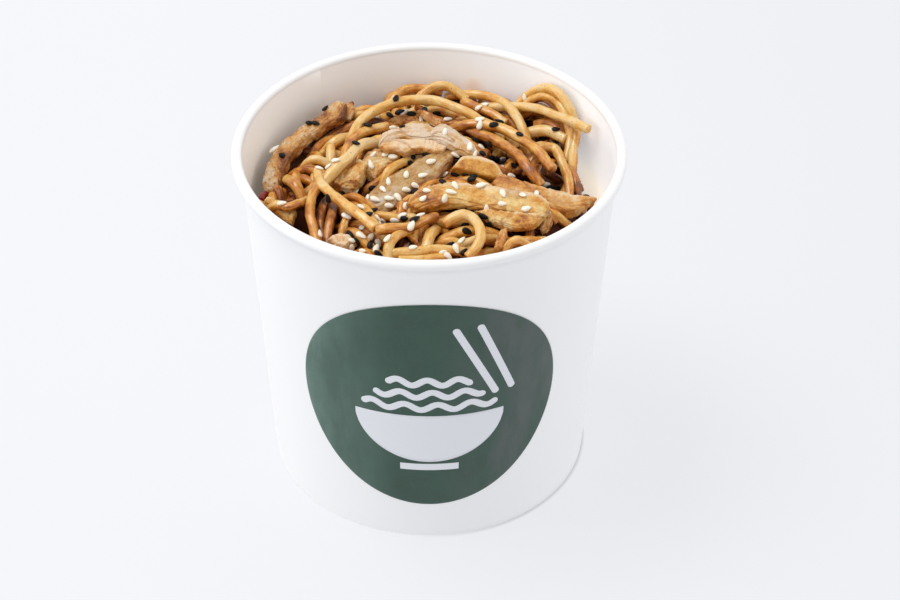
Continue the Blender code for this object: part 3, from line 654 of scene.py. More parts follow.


# Chicken: the upper and lower outline of each piece as the photo shows it, in pixels, both from one end
# to the other. A lobe that belongs to another piece's solid names it with of. level raises it in mm from
# that solid's middle, or height gives its middle. tilt is how much it climbs to the right and to the
# back, thick its thickness in mm, and power that of its section: 1 is an oval, and less is squarer.
# brown is how toasted it is, with more or less at its edges and ends, part toasting and part painted light
# and shade, and mottle how patchy. crag and fibre say how rough and how threaded it is, dull how grey and
# golden how yellow. glaze makes it glossy and speckle gives it crumbs.
chicken = {
    "chicken_wall_strip": dict(
        upper=[(264, 192), (263, 180), (268, 165), (277, 149), (289, 137), (303, 127), (318, 117),
               (331, 105), (340, 103), (347, 106)],
        lower=[(264, 192), (270, 196), (278, 191), (283, 178), (290, 164), (300, 151), (314, 140),
               (329, 130), (344, 122), (347, 106)],
        tilt=(0.0, 0.25), thick=5.0, brown=0.38, lowerBrown=0.14, rightBrown=0.06, crag=1.3, fibre=0.3,
        mottle=0.55, dull=0.35, golden=0.15, speckle=1),
    "wallStripFlap": dict(
        of="chicken_wall_strip",
        upper=[(345, 121), (345, 112), (349, 105), (353, 102)],
        lower=[(345, 121), (351, 121), (354, 112), (353, 102)],
        tilt=(0.0, 0.5), level=2.2, thick=2.2, brown=0.30, rightBrown=0.4, crag=0.8, fibre=0.4),
    "chicken_long_slab": dict(
        upper=[(366, 203), (368, 195), (376, 188), (386, 179), (399, 172), (413, 164), (430, 155),
               (447, 150), (456, 154)],
        lower=[(366, 203), (374, 214), (386, 215), (399, 208), (411, 197), (424, 189), (438, 180),
               (450, 168), (456, 154)],
        tilt=(0.0, 0.25), thick=4.6, brown=0.26, lowerBrown=0.30, rightBrown=0.24, crag=0.5, fibre=0.7,
        dull=1.0, glaze=1),
    "chicken_left_chunk": dict(
        upper=[(326, 179), (332, 171), (342, 165), (352, 161), (361, 161), (368, 170)],
        lower=[(326, 179), (331, 188), (342, 194), (354, 193), (363, 185), (368, 170)],
        thick=6.0, brown=0.05, lowerBrown=0.22, crag=1.7, fibre=0.7, mottle=0.7, golden=0.45, glaze=1),
    "chicken_mid_chunk": dict(
        upper=[(360, 170), (364, 158), (374, 151), (386, 149), (397, 153), (401, 161)],
        lower=[(360, 170), (367, 179), (378, 180), (389, 175), (398, 169), (401, 161)],
        thick=6.0, brown=0.28, lowerBrown=0.26, crag=1.7, fibre=0.7, mottle=0.7, golden=0.45, glaze=1),
    "chicken_right_strip": dict(
        upper=[(490, 185), (500, 176), (512, 178), (528, 183), (545, 188), (562, 193), (580, 197),
               (597, 199)],
        lower=[(490, 185), (500, 197), (518, 204), (535, 209), (552, 214), (570, 218), (584, 213),
               (597, 199)],
        tilt=(0.0, 0.3), thick=4.6, brown=0.42, upperBrown=-0.17, crag=0.8, fibre=0.8, power=0.5,
        mottle=0.55, golden=0.3),
    "chicken_block": dict(
        upper=[(451, 171), (456, 163), (463, 156.5), (474, 156.5), (484, 158.5), (495, 163), (500, 171),
               (504, 178)],
        lower=[(451, 171), (459, 174), (469, 177), (480, 180.5), (490, 183), (498, 183), (504, 178)],
        tilt=(-0.1, 0.45), thick=4.6, brown=0.36, upperBrown=-0.60, rightBrown=-0.40, crag=0.35,
        fibre=0.2, power=0.36, mottle=0.25, golden=0.9, glaze=1),
    "chicken_back_flake": dict(
        upper=[(386, 124), (394, 118), (404, 116), (414, 117), (422, 122)],
        lower=[(386, 124), (395, 127), (406, 127), (416, 127), (422, 122)],
        thick=3.0, brown=0.58, crag=1.0, fibre=0.5),
    "chicken_front_chunk": dict(
        upper=[(327, 243), (332, 236), (341, 233), (350, 237), (357, 245)],
        lower=[(327, 243), (334, 250), (345, 252), (357, 245)],
        thick=4.6, brown=0.26, crag=1.7, fibre=0.4),
    "chicken_rim_chunk": dict(
        upper=[(264, 203), (271, 199), (281, 202), (291, 207), (297, 215)],
        lower=[(264, 203), (272, 213), (283, 222), (293, 226), (297, 215)],
        level=1.2, thick=4.6, brown=0.24, lowerBrown=0.1, crag=1.7, fibre=0.5, golden=0.5),
    "chicken_end_chunk": dict(
        upper=[(540, 231), (543, 221), (547, 213), (551, 214), (552, 222)],
        lower=[(540, 231), (544, 233), (549, 230), (552, 222)],
        thick=3.4, brown=0.42, crag=1.8, fibre=0.6),
    "chicken_front_strip": dict(
        upper=[(406, 205), (412, 196), (422, 189), (434, 185), (449, 183), (466, 184), (484, 186),
               (502, 189), (520, 192), (536, 195), (546, 200), (550, 208)],
        lower=[(406, 205), (414, 211), (428, 212), (444, 209), (460, 209), (476, 210), (491, 212),
               (506, 215), (522, 217), (536, 218), (546, 214), (550, 208)],
        tilt=(0.0, 0.30), level=0.5, thick=4.0, brown=0.23, leftBrown=0.42, lowerBrown=-0.02,
        upperBrown=-0.16, crag=0.8, fibre=1.0, power=0.55, mottle=0.45, golden=0.75, glaze=1),
    "frontStripLower": dict(
        of="chicken_front_strip",
        upper=[(474, 212), (486, 209), (500, 210), (514, 212), (530, 213), (542, 213), (548, 215)],
        lower=[(474, 212), (482, 219), (493, 226), (506, 231), (520, 232), (534, 229), (548, 215)],
        tilt=(0.0, 0.55), level=-0.9, thick=4.4, brown=0.24, upperBrown=-0.20, lowerBrown=-0.08, crag=1.0,
        fibre=0.9, power=0.55, mottle=0.55, golden=0.6, glaze=1),
    "chicken_top_slab": dict(
        upper=[(378, 147), (380, 139), (386, 133), (395, 129), (405, 125.5), (416, 124), (427, 125),
               (435, 130)],
        lower=[(378, 147), (386, 146), (394, 142.5), (404, 141.5), (415, 142), (427, 143), (436, 141),
               (435, 130)],
        tilt=(0.0, 0.45), level=0.4, thick=3.6, brown=0.04, lowerBrown=0.10, crag=0.7, fibre=1.4,
        dull=0.35),
    "topSlabRight": dict(
        of="chicken_top_slab",
        upper=[(429, 136), (434, 128), (443, 124.5), (451, 128), (460, 134), (469, 140), (475, 147),
               (479, 154)],
        lower=[(429, 136), (434, 143), (442, 147), (451, 151), (460, 155), (470, 158.5), (479, 154)],
        tilt=(0.0, 0.30), level=0.2, thick=3.8, brown=0.06, lowerBrown=0.06, crag=0.5, fibre=1.2,
        dull=0.5),
    "topSlabLower": dict(
        of="chicken_top_slab",
        upper=[(379, 147), (385, 141), (396, 139), (410, 139.5), (424, 140), (438, 142), (450, 148)],
        lower=[(379, 147), (385, 153), (394, 153), (406, 155.5), (420, 153.5), (434, 156), (443, 155),
               (450, 148)],
        tilt=(0.0, 0.35), level=-1.0, thick=3.6, brown=0.03, lowerBrown=0.32, crag=0.9, fibre=1.0,
        power=0.5),
    "orangeFlake": dict(
        of="noodles", height=102.4,
        upper=[(417, 111), (424, 111), (432, 116), (440, 122), (443, 127)],
        lower=[(417, 111), (421, 116), (428, 121), (436, 127), (443, 127)],
        thick=2.2, brown=0.52, lowerBrown=-0.2, crag=0.8, fibre=1.0),
    "frontSliver": dict(
        of="noodles", height=99.6,
        upper=[(494, 249), (497, 239), (501, 232), (507, 228)],
        lower=[(494, 249), (502, 249), (506, 239), (507, 228)],
        thick=2.2, brown=0.42, crag=0.8, fibre=0.8),
    "paleShred": dict(
        of="noodles", height=98.2,
        upper=[(505, 243), (514, 239), (524, 239), (533, 242)],
        lower=[(505, 243), (511, 247), (521, 247), (533, 242)],
        thick=2.6, brown=0.16, crag=0.8, fibre=0.8),
}
chickenUsual = dict(tilt=(0.0, 0.2), level=0.0, power=0.66, lowerBrown=0.0, upperBrown=0.0, leftBrown=0.0,
                    rightBrown=0.0, mottle=0.36, dull=0.0, golden=0.0, glaze=0.0, speckle=0.0)
chickenGrid = dict(rows=190, columns=130)
# Depths in mm of what stands out of the meat, and the size of each one's noise
meat = dict(swell=0.14, swellSize=8.0, ragged=(0.10, 0.06), raggedSizes=(4.0, 1.5), crags=(0.30, 0.22, 0.15),
            cragSizes=(3.2, 1.5, 0.7), grit=0.06, gritSize=0.42, flakes=0.30, cragFlakes=0.2, flakeSize=2.4,
            threads=0.15, threadSize=0.62, creases=0.34, creaseSize=2.6)


def ontoPlane(pixels, middle, tilt):
    # Where the ray through each pixel meets the plane z = middle z + tilt x * dx + tilt y * dy
    rays = rayThrough(pixels)
    eye = cameraPlace / mm
    across = np.array([-tilt[0], -tilt[1], 1.0])
    share = ((middle - eye) @ across) / (rays @ across)
    return eye + rays * share[:, None]


def keepInTub(skin):
    # Points past the wall are drawn back to just inside it
    out = np.hypot(skin[..., 0], skin[..., 1])
    limit = innerRadius(95.0) - 0.9    # the wall near the top of the heap
    skin[..., :2] *= np.minimum(1, limit / np.maximum(out, 1e-6))[..., None]
    return skin


def rising(value, start, reach):
    return np.clip((value - start) / reach, 0, 1)


def cutToOutline(half, way, normal, deep, power):
    # Half widths cut down so that the outline, thickness included, is the one given: in the picture,
    # across the piece, kept^p = seen^p - risen^p
    toImage = np.column_stack([cameraRight, cameraUp])
    across = unit(np.column_stack([-(way @ cameraUp), way @ cameraRight]))
    seen = np.abs((half @ toImage * across).sum(axis=1))
    risen = deep * np.abs((normal @ toImage * across).sum(axis=1))
    p = 2 / (2 - power)
    kept = np.clip(seen**p - risen**p, (0.45 * seen) ** p, None) ** (1 / p)
    return half * (kept / np.maximum(seen, 1e-6))[:, None]


def meatRelief(spun, shape, seed):
    # Noise over the unrolled skin: crags of three sizes, grit, flakes with sharp steps, threads drawn
    # out along the piece, and creases where such a noise passes zero. The last is their sum in mm.
    crags = sum(deep * lumps(spun + away, size, seed + 11 + k) for k, (deep, size, away)
                in enumerate(zip(meat["crags"], meat["cragSizes"], (5 * seed, 0, 0))))
    grit = lumps(spun, meat["gritSize"], seed + 19)
    torn = lumps(spun * [0.45, 1, 1], meat["flakeSize"], seed + 18)
    flakes = np.floor(torn * 3) / 3 + np.clip((torn * 3 % 1) * 6, 0, 1) / 3 - torn
    threads = lumps(spun * [0.11, 1.0, 1.0], meat["threadSize"], seed + 14)
    crease = np.clip(1 - np.abs(lumps(spun * [0.28, 1, 1], meat["creaseSize"], seed + 15)) / 0.10, 0, 1)
    relief = (shape["crag"] * (crags + meat["grit"] * grit)
              + (meat["flakes"] + meat["cragFlakes"] * shape["crag"]) * flakes
              + shape["fibre"] * (meat["threads"] * threads - meat["creases"] * crease))
    return crags, grit, threads, crease, relief


def chickenPiece(name, shape, seed):
    # Loft between two edge lines U(t) and L(t) on a tilted plane: middle + half width * c + normal *
    # half thickness * s, with c and s the cosine and sine to a power below 1, which squares the section
    shape = {**chickenUsual, **shape}
    low, high = (np.array(corner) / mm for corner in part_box(shape.get("of", name)))
    edges = np.array(shape["upper"] + shape["lower"], float)
    centre = np.array([0.0, 0.0, shape.get("height", (low[2] + high[2]) / 2 + shape["level"])])
    centre[:2] = ontoPlane(edges, centre, (0, 0)).mean(axis=0)[:2]
    t = 0.5 - 0.5 * np.cos(np.linspace(0.05, math.pi - 0.05, chickenGrid["rows"]))
    t = 0.5 * t + 0.5 * np.linspace(0.002, 0.998, chickenGrid["rows"])    # closer together at the ends
    curves = [curveThrough(ontoPlane(shape[edge], centre, shape["tilt"])) for edge in ("upper", "lower")]
    upper, lower = (pointsAt(curve, t * runOf(curve)[-1]) for curve in curves)
    middle, half = (upper + lower) / 2, (upper - lower) / 2
    normal = unit(np.array([-shape["tilt"][0], -shape["tilt"][1], 1.0]))
    way = unit(np.gradient(middle, axis=0))
    full = (1 - np.abs(2 * t - 1) ** 5) ** 0.5    # thickness as a share of the middle's
    rowSpot = np.column_stack([runOf(middle), 0 * t, 0 * t])
    swell = 1 + meat["swell"] * lumps(rowSpot + [0, 70, seed], meat["swellSize"], seed)
    deep = shape["thick"] / 2 * full * swell
    half = cutToOutline(half, way, normal, deep, shape["power"])
    turn = np.linspace(0, 2 * math.pi, chickenGrid["columns"], endpoint=False)
    c, s = (signedPower(each, shape["power"])[None] for each in (np.cos(turn), np.sin(turn)))
    wide = np.linalg.norm(half, axis=1)
    spun = np.stack([rowSpot[:, :1] + 0 * c, wide[:, None] * c, deep[:, None] * s], axis=-1)
    ragged = sum(share * lumps(spun * [1, 0.2, squeeze] + [0, 9, 3 * seed], size, seed)
                 for share, size, squeeze in zip(meat["ragged"], meat["raggedSizes"], (0.3, 1)))
    ragged = 1 + ragged * shape["crag"] * np.abs(c)
    skin = (middle[:, None] + half[:, None] * (c * ragged)[..., None]
            + normal * (deep[:, None] * s)[..., None])
    outward = unit(unit(half)[:, None] * (c * np.abs(c))[..., None] + normal * (s * np.abs(s))[..., None]
                   + way[:, None] * signedPower(2 * t - 1, 9)[:, None, None])
    crags, grit, threads, crease, relief = meatRelief(spun, shape, seed)
    calm = np.clip(full * 1.4, 0.15, 1)[:, None]
    skin = keepInTub(skin + outward * (relief * calm)[..., None])
    # Toasted in patches; paler where the relief stands out and darker in its dips, as painted light and
    # shade; more or less at the edges and ends, part toasting and part painted light and shade; darker below,
    # as painted shade
    along = t[:, None]
    patch = 0.6 * lumps(spun, 6.0, seed + 16) + 0.5 * lumps(spun, 2.3, seed + 17)
    brown = (shape["brown"] + shape["mottle"] * patch - 0.22 * crags * shape["crag"]
             - 0.13 * threads * shape["fibre"] - 0.07 * grit * shape["crag"]
             + shape["lowerBrown"] * rising(-c, 0.45, 0.4) + shape["upperBrown"] * rising(c, 0.35, 0.4)
             + shape["rightBrown"] * rising(along, 0.75, 0.15)
             + shape["leftBrown"] * rising(-along, -0.28, 0.15)
             + 0.25 * np.clip(-s - 0.2, 0, 1))
    same = 0 * brown
    golden = rising(-c, -0.75, 0.4)
    if shape["rightBrown"] < 0:    # a pale right end isn't golden either
        golden = golden * rising(-along, -0.90, 0.15)
    return dict(grid=skin, brown=np.clip(brown, 0, 1), crease=crease * min(shape["fibre"], 1.0),
                along=spun[..., 0], across=spun[..., 1] + spun[..., 2],
                golden=same + shape["golden"] * golden,
                **{key: same + shape[key] for key in ("glaze", "speckle", "dull")})


meatRamp = ((0.02, (0.79, 0.585, 0.375)), (0.20, (0.72, 0.44, 0.20)), (0.38, (0.68, 0.34, 0.085)),
            (0.60, (0.50, 0.185, 0.033)), (0.80, (0.27, 0.080, 0.015)), (0.98, (0.10, 0.025, 0.006)))
# crease is painted shade in the meat's creases; speck and crumb are its own crumbs
meatTints = dict(dull=(0.78, 0.94, 1.30), golden=(0.97, 0.92, 0.45), crease=(0.42, 0.17, 0.05),
                 speck=(0.10, 0.030, 0.010), crumb=(0.27, 0.095, 0.028))


def meatMaterial():
    made, tree, shader = newMaterial("roastChicken", Roughness=0.45, Specular_IOR_Level=0.45,
                                     Subsurface_Weight=0.15, Subsurface_Scale=0.0015,
                                     Subsurface_Radius=(1.0, 0.5, 0.25),
                                     Coat_Weight=0.12, Coat_Roughness=0.20)
    place = objectPlace(tree)
    grain = joinAxes(tree, times(tree, readMark(tree, "along"), 0.16), readMark(tree, "across"))
    strands = noiseOf(tree, grain, 2.6, 4.0, 0.65)
    blotch = noiseOf(tree, place, 520.0, 5.0, 0.7)
    share = plus(tree, readMark(tree, "brown"), spread(tree, blotch, 0.25, 0.75, -0.28, 0.28))
    share = plus(tree, share, spread(tree, strands, 0.3, 0.7, 0.13, -0.13))
    colour = rampOf(tree, share, meatRamp)
    for mark in ("dull", "golden"):
        colour = blendColours(tree, readMark(tree, mark), colour, meatTints[mark], "MULTIPLY")
    specks = times(tree, spread(tree, noiseOf(tree, place, 2100.0, 2.0), 0.69, 0.75), 0.75)
    crumbs = times(tree, spread(tree, noiseOf(tree, place, 900.0, 3.0, 0.7), 0.54, 0.64),
                   readMark(tree, "speckle"))
    # The crease tint is painted shade
    for amount, tint in ((times(tree, readMark(tree, "crease"), 0.55), "crease"), (specks, "speck"),
                         (times(tree, crumbs, 0.70), "crumb")):
        colour = blendColours(tree, amount, colour, meatTints[tint])
    tree.links.new(colour, shader.inputs["Base Color"])
    gloss = calculate(tree, "SUBTRACT", blotch, times(tree, readMark(tree, "glaze"), 0.22))
    tree.links.new(spread(tree, gloss, 0.1, 0.7, 0.24, 0.58), shader.inputs["Roughness"])
    height = plus(tree, times(tree, strands, 0.8), noiseOf(tree, place, 1700.0, 4.0))
    roughen(tree, shader, height, 0.00030, 0.7)
    return made


roastChicken = meatMaterial()
meatTop = np.full((mapSize, mapSize), belowAll)
meatUnder = np.full((mapSize, mapSize), aboveAll)
foodMeshes = []


def markMeat(grid):
    i, j = cellsAt(grid[..., 0]), cellsAt(grid[..., 1])
    np.maximum.at(meatTop, (i, j), grid[..., 2])
    np.minimum.at(meatUnder, (i, j), grid[..., 2])


for number, (name, shape) in enumerate(chicken.items()):
    node = shape.get("of", name)
    strip = chickenPiece(name, shape, number)
    markMeat(strip["grid"])
    marks = {key: [values] for key, values in strip.items() if key != "grid"}
    mesh = surfaceMesh(name + "_skin", [strip["grid"] * mm], marks=marks)
    slot = "chicken" if "chicken" in node else "noodles"
    foodMeshes.append(addPiece(name + "_skin", mesh, roastChicken, slot, node))

# The bit of red pepper, made in the same way
pepper = dict(upper=[(258, 201), (259, 196), (264, 193), (269, 195)],
              lower=[(258, 201), (264, 204), (269, 195)],
              tilt=(0.0, 0.1), thick=3.4, brown=0.0, fibre=0.0, crag=0.3)


def pepperMaterial():
    made, tree, shader = newMaterial("pepperSkin", Roughness=0.30, Coat_Weight=0.15, Coat_Roughness=0.1,
                                     Subsurface_Weight=0.2, Subsurface_Scale=0.001)
    cloud = noiseOf(tree, objectPlace(tree), 500.0, 3.0)
    colour = blendColours(tree, spread(tree, cloud, 0.35, 0.7), (0.15, 0.003, 0.002), (0.34, 0.014, 0.004))
    tree.links.new(colour, shader.inputs["Base Color"])
    roughen(tree, shader, cloud, 0.0002, 0.4)
    return made


strip = chickenPiece("red_pepper", pepper, 60)
markMeat(strip["grid"])
mesh = surfaceMesh("redPepper", [strip["grid"] * mm])
addPiece("redPepper", mesh, pepperMaterial(), "red_pepper", "red_pepper")


# Noodles that show, as in the solids: points of each middle line, diameter, and how dark it is, from its
# sauce and, for some, painted shade
noodleThick = 3.1
wallGap = 0.5
shownNoodles = [
    dict(route=[(-33, 21, 94), (-28, 23, 98), (-22, 28, 95)], thick=3.7, sauceAndShade=0.30),
    dict(route=[(-43, 5, 96), (-40, -2, 99), (-37, -7, 95)], thick=3.4, sauceAndShade=0.30),
    dict(route=[(-39, 11, 95), (-35, 11, 99), (-29, 10, 97)], sauceAndShade=0.40),
    dict(route=[(-31, 20, 97), (-30, 15, 100), (-30, 8, 96)], sauceAndShade=0.30),
    dict(route=[(-47, -11, 97), (-42, -16, 99.4), (-38, -13, 99.6), (-35, -4, 96)],
         thick=2.8, sauceAndShade=0.42),
    dict(route=[(-31, -9, 98), (-32, -17, 97), (-31, -24, 94)], thick=2.6, sauceAndShade=0.70),
    dict(route=[(-28, -10, 98), (-29, -19, 98), (-30, -27, 94)], thick=2.7, sauceAndShade=0.58),
    dict(route=[(-25.5, -25, 97), (-24.5, -20.5, 99), (-22.5, -16, 99)], thick=2.7, sauceAndShade=0.45),
    dict(route=[(-2, -36, 95), (0, -28, 99), (2, -22, 97)], thick=3.3, sauceAndShade=0.12),
    dict(route=[(-11, -35, 98), (-3.5, -34.5, 98.5), (3, -33.5, 98.5), (10.5, -33, 97)], sauceAndShade=0.32),
    dict(route=[(-9, -37.5, 97.5), (-1.5, -37, 97.5), (6, -35.5, 97.5)], thick=2.8, sauceAndShade=0.42),
    dict(route=[(19, -34, 94), (25, -32, 98), (32, -31, 96)], thick=3.0, sauceAndShade=0.50),
    dict(route=[(-25, -21, 96), (-20, -28, 98), (-13, -34, 95)], sauceAndShade=0.50),
    dict(route=[(-15, 43, 95), (-9, 49, 99), (-3, 51, 99), (4, 51, 97)], sauceAndShade=0.40),
    dict(route=[(-6, 45, 96), (0, 49, 100), (6, 50, 100), (12, 47, 97)], sauceAndShade=0.45),
    dict(route=[(5, 50, 96), (13, 49, 98), (19, 46, 99), (24, 40, 100), (28, 30, 100), (31, 20, 96)],
         thick=3.0, sauceAndShade=0.28),
    dict(route=[(10.5, 46, 97.5), (15, 41.5, 98), (20, 37.5, 98), (24, 33.5, 97)], thick=3.0, sauceAndShade=0.55),
    dict(route=[(14, 44, 96), (26, 39, 100), (34, 33, 103), (41, 26, 104.5), (48.5, 18, 105.5)],
         thick=3.0, sauceAndShade=0.16),
    dict(route=[(29, 40, 99), (34, 39, 103), (38, 36, 103.2), (41, 32, 100.5), (42.5, 27, 97)],
         thick=2.6, sauceAndShade=0.50),
    dict(route=[(29, 38, 97), (34, 36, 100.5), (38, 32.5, 100.8), (41, 28, 98.5), (42, 23, 96)],
         thick=3.0, sauceAndShade=0.45),
    dict(route=[(33, 33, 97), (37, 30.5, 99.5), (40, 27, 99), (42, 22, 96.5)], thick=2.8, sauceAndShade=0.55),
    dict(route=[(29, 43, 97), (34, 42, 99), (38.5, 38.5, 99), (42, 34, 96)], thick=3.0, sauceAndShade=0.45),
    dict(route=[(28, 38.5, 98), (32, 38.5, 103), (36.5, 36, 105.8), (40, 31.5, 106), (42.3, 27, 103.5),
                (43.2, 22, 99), (41.5, 15, 95)], thick=2.7, sauceAndShade=0.30),
    dict(route=[(27, 41, 98), (31, 41, 103), (36, 38, 107.5), (40, 33, 108.5), (43, 29, 106),
                (45, 25, 101), (44, 19, 97), (43, 9, 94), (40, 0, 92)], thick=3.2, sauceAndShade=0.24),
    dict(route=[(28, 29, 96), (36, 27, 99), (42, 22, 99)], thick=3.5, sauceAndShade=0.15),
    dict(route=[(30, 13, 95), (34, 17, 99), (38, 17, 99), (40, 12, 98), (42, 5, 95), (42, -1, 92)],
         thick=3.0, sauceAndShade=0.32),
    dict(route=[(42, 13, 95), (43.5, 9, 95), (44.5, 5, 94), (45, 1, 91)], thick=2.7, sauceAndShade=0.55),
    dict(route=[(10, 28.5, 99), (15, 23.5, 100), (20, 18.5, 101), (26, 11, 101.5), (30, 3, 101),
                (33.5, -0.5, 97)], thick=3.2, sauceAndShade=0.60),
    dict(route=[(5, 28, 98), (13, 26, 102), (22, 23, 102.5), (28, 18, 102), (33, 11, 102), (37, 3, 101)],
         thick=3.2, sauceAndShade=0.50),
    dict(route=[(-26, 10, 98.5), (-25, 15, 100), (-23, 20.5, 100.5), (-19, 24.5, 100.5), (-13, 29.5, 99)],
         sauceAndShade=0.50),
    dict(route=[(-26, 12, 96), (-24, 21, 100), (-21, 28, 102), (-16, 33, 103), (-9, 37, 103),
                (0, 38, 103), (6, 35, 103), (13, 31, 102), (19, 27, 99)], thick=3.2, sauceAndShade=0.26),
    dict(route=[(-32, -4, 100), (-25, 5, 102.5), (-21, 13, 102.5), (-16, 20, 99)], thick=3.6, sauceAndShade=0.12),
    dict(route=[(-32.5, -5, 102), (-34.5, -11.5, 101.5), (-35, -17.5, 100), (-34, -22, 98.5),
                (-32.5, -27, 95.5)], sauceAndShade=0.46),
    dict(route=[(-33.5, 2, 101.5), (-32.5, -6, 103), (-29, -12.5, 103.5), (-24.5, -18, 103),
                (-20, -23.5, 103), (-15.5, -28.5, 102)], sauceAndShade=0.24),
    dict(route=[(-15.5, -28.5, 101.5), (-11.5, -28.5, 102), (-6, -27.5, 102), (-2, -24.5, 102),
                (2, -19.5, 100)], sauceAndShade=0.50),
    dict(route=[(-12, -37, 97), (-11.5, -33.5, 100), (-9, -30, 101), (-5, -26, 100)], sauceAndShade=0.28),
    dict(route=[(4, -24, 100.5), (6, -23, 101.5), (9.5, -22, 102.5), (12.5, -23, 102), (14.4, -27.5, 102),
                (14.7, -31.5, 101), (13.3, -35, 100), (10.8, -37, 98)], sauceAndShade=0.24),
    dict(route=[(-4, 37, 101), (0, 31, 102), (4, 29, 98)], thick=2.0, sauceAndShade=0.80),
]


def insideTub(line, radius):
    # Middle line drawn in where the noodle would touch the wall
    reach = innerRadius(line[:, 2]) - radius - wallGap
    out = np.hypot(line[:, 0], line[:, 1])
    line = line.copy()
    line[:, :2] *= np.minimum(1, reach / np.maximum(out, 1e-9))[:, None]
    return line


def overMeat(line, radius):
    # Raised where the noodle would cut into meat by less than most of its own thickness
    gap, most, rounds, held = 0.05, 1.7 * radius, 10, 0.98    # held: how much each round passes on
    lift = np.clip(restOn(meatTop, line, radius) + gap - line[:, 2], 0, None)
    lift = np.where(lift > most, 0, lift)
    for _ in range(rounds):
        lift[1:-1] = np.maximum(lift[1:-1], (lift[:-2] + lift[2:]) / 2 * held)
    line = line.copy()
    line[:, 2] += lift
    return line


shownLines = []
for noodle in shownNoodles:
    radius = noodle.get("thick", noodleThick) / 2
    line = evenly(curveThrough(noodle["route"]), 1.0)
    line[:, 2] += 0.25 * lumps(line, 9.0, 77)
    line = insideTub(overMeat(line, radius), radius)
    shownLines.append((line, radius, noodle["sauceAndShade"]))

# Noodles under and between those: seeded arcs, each laid on what is under it, kept below what shows
under = dict(seed=19, tries=2400, shortest=16, bottom=92.0, lowest=80.0, sunk=0.8, sink=0.5, length=(30, 80),
             margin=0.6, clearance=0.25, overlap=0.6, sauceAndShade=(0.20, 0.74), thick=(0.86, 1.08), start=51,
             wallAt=97.0, bend=0.030, bendChange=0.012, bendNoise=0.22, lumpy=1.2, lumpSize=5.0,
             rounds=40, endDip=3.4, endReach=9.0)
inHollows = dict(seed=23, tries=2000, shortest=9, lowest=73.0, sunk=1.15)
# Dark hollows in the heap and bare places by the wall: (x, y, reach, depth), in mm
hollows = [(-33.0, -20.0, 7.5, 9.0), (-39.5, -12.5, 7.5, 12.0), (-9.0, -31.0, 5.0, 8.0),
           (37.5, 1.0, 6.5, 10.0), (29.0, 4.0, 4.0, 6.0), (51.5, 18.0, 11.0, 16.0),
           (48.0, 25.5, 7.0, 14.0), (52.0, 5.0, 11.0, 16.0), (46.0, 30.0, 6.0, 5.0),
           (-52.0, 9.0, 8.0, 14.0), (-53.0, 0.0, 6.5, 11.0), (-49.0, 21.0, 7.0, 10.0),
           (-42.5, 32.0, 7.0, 9.0), (-36.0, 40.5, 7.0, 9.0), (-12.0, -20.0, 4.0, 4.0),
           (-7.5, -25.5, 5.0, 10.0), (-20.0, 51.0, 7.5, 4.5), (-27.0, 47.0, 6.0, 5.0),
           (-20.5, -5.0, 4.0, 7.0), (-11.5, -13.0, 3.5, 4.0), (-11.0, 14.0, 4.5, 6.0),
           (-33.0, -4.0, 3.5, 7.0), (21.0, 13.5, 4.5, 7.0), (-38.0, 14.0, 5.0, 5.0),
           (42.0, -21.0, 9.0, 8.0), (47.0, -9.0, 7.0, 8.0), (28.0, -36.0, 9.0, 3.5),
           (-25.0, -35.0, 5.0, 3.0)]


def hollowDepth(x, y):
    # The most, over the hollows, of depth * min(1, 2.2 * (1 - distance / reach))
    most = 0 * x
    for middleX, middleY, reach, depth in hollows:
        share = np.clip(1 - np.hypot(x - middleX, y - middleY) / reach, 0, 1)
        most = np.maximum(most, depth * np.minimum(1, 2.2 * share))
    return most


def bareHeap(x, y, sunk):
    # Level ground with lumps, sunk in the hollows by a share of their depth
    lumpy = under["lumpy"] * lumps(np.stack([x, y, 0 * x], -1), under["lumpSize"], 31)
    return under["bottom"] + lumpy - sunk * hollowDepth(x, y)


def moundCeiling():
    # Highest top of an under noodle: a little under the mound, deeper in the hollows, and below
    # every noodle and piece of meat that shows
    top = moundHeight(mapX, mapY) - under["margin"] - hollowDepth(mapX, mapY)
    below = np.full_like(top, aboveAll)
    for line, radius, _ in shownLines:
        lowerMap(below, line, radius)
    return np.minimum(top, np.minimum(below, meatUnder) - under["clearance"] + under["overlap"])


def randomRoute(draw):
    # Start point, heading and a slowly changing bend, stepped by cumulative sums of the heading
    length = draw.uniform(*under["length"])
    count = int(length)
    out, angle = under["start"] * math.sqrt(draw.random()), draw.uniform(0, 2 * math.pi)
    bend = draw.normal(0, under["bend"])
    bend = bend + under["bendChange"] * np.cumsum(draw.normal(0, under["bendNoise"], count))
    heading = draw.uniform(0, 2 * math.pi) + np.cumsum(bend)
    steps = np.column_stack([np.cos(heading), np.sin(heading)])
    route = np.array([out * math.cos(angle), out * math.sin(angle)]) + np.cumsum(steps, axis=0)
    reach = innerRadius(under["wallAt"]) - noodleThick / 2 - wallGap
    far = np.hypot(route[:, 0], route[:, 1])
    route *= (np.minimum(far, reach) / np.maximum(far, 1e-9))[:, None]
    return np.column_stack([route, 0 * far])


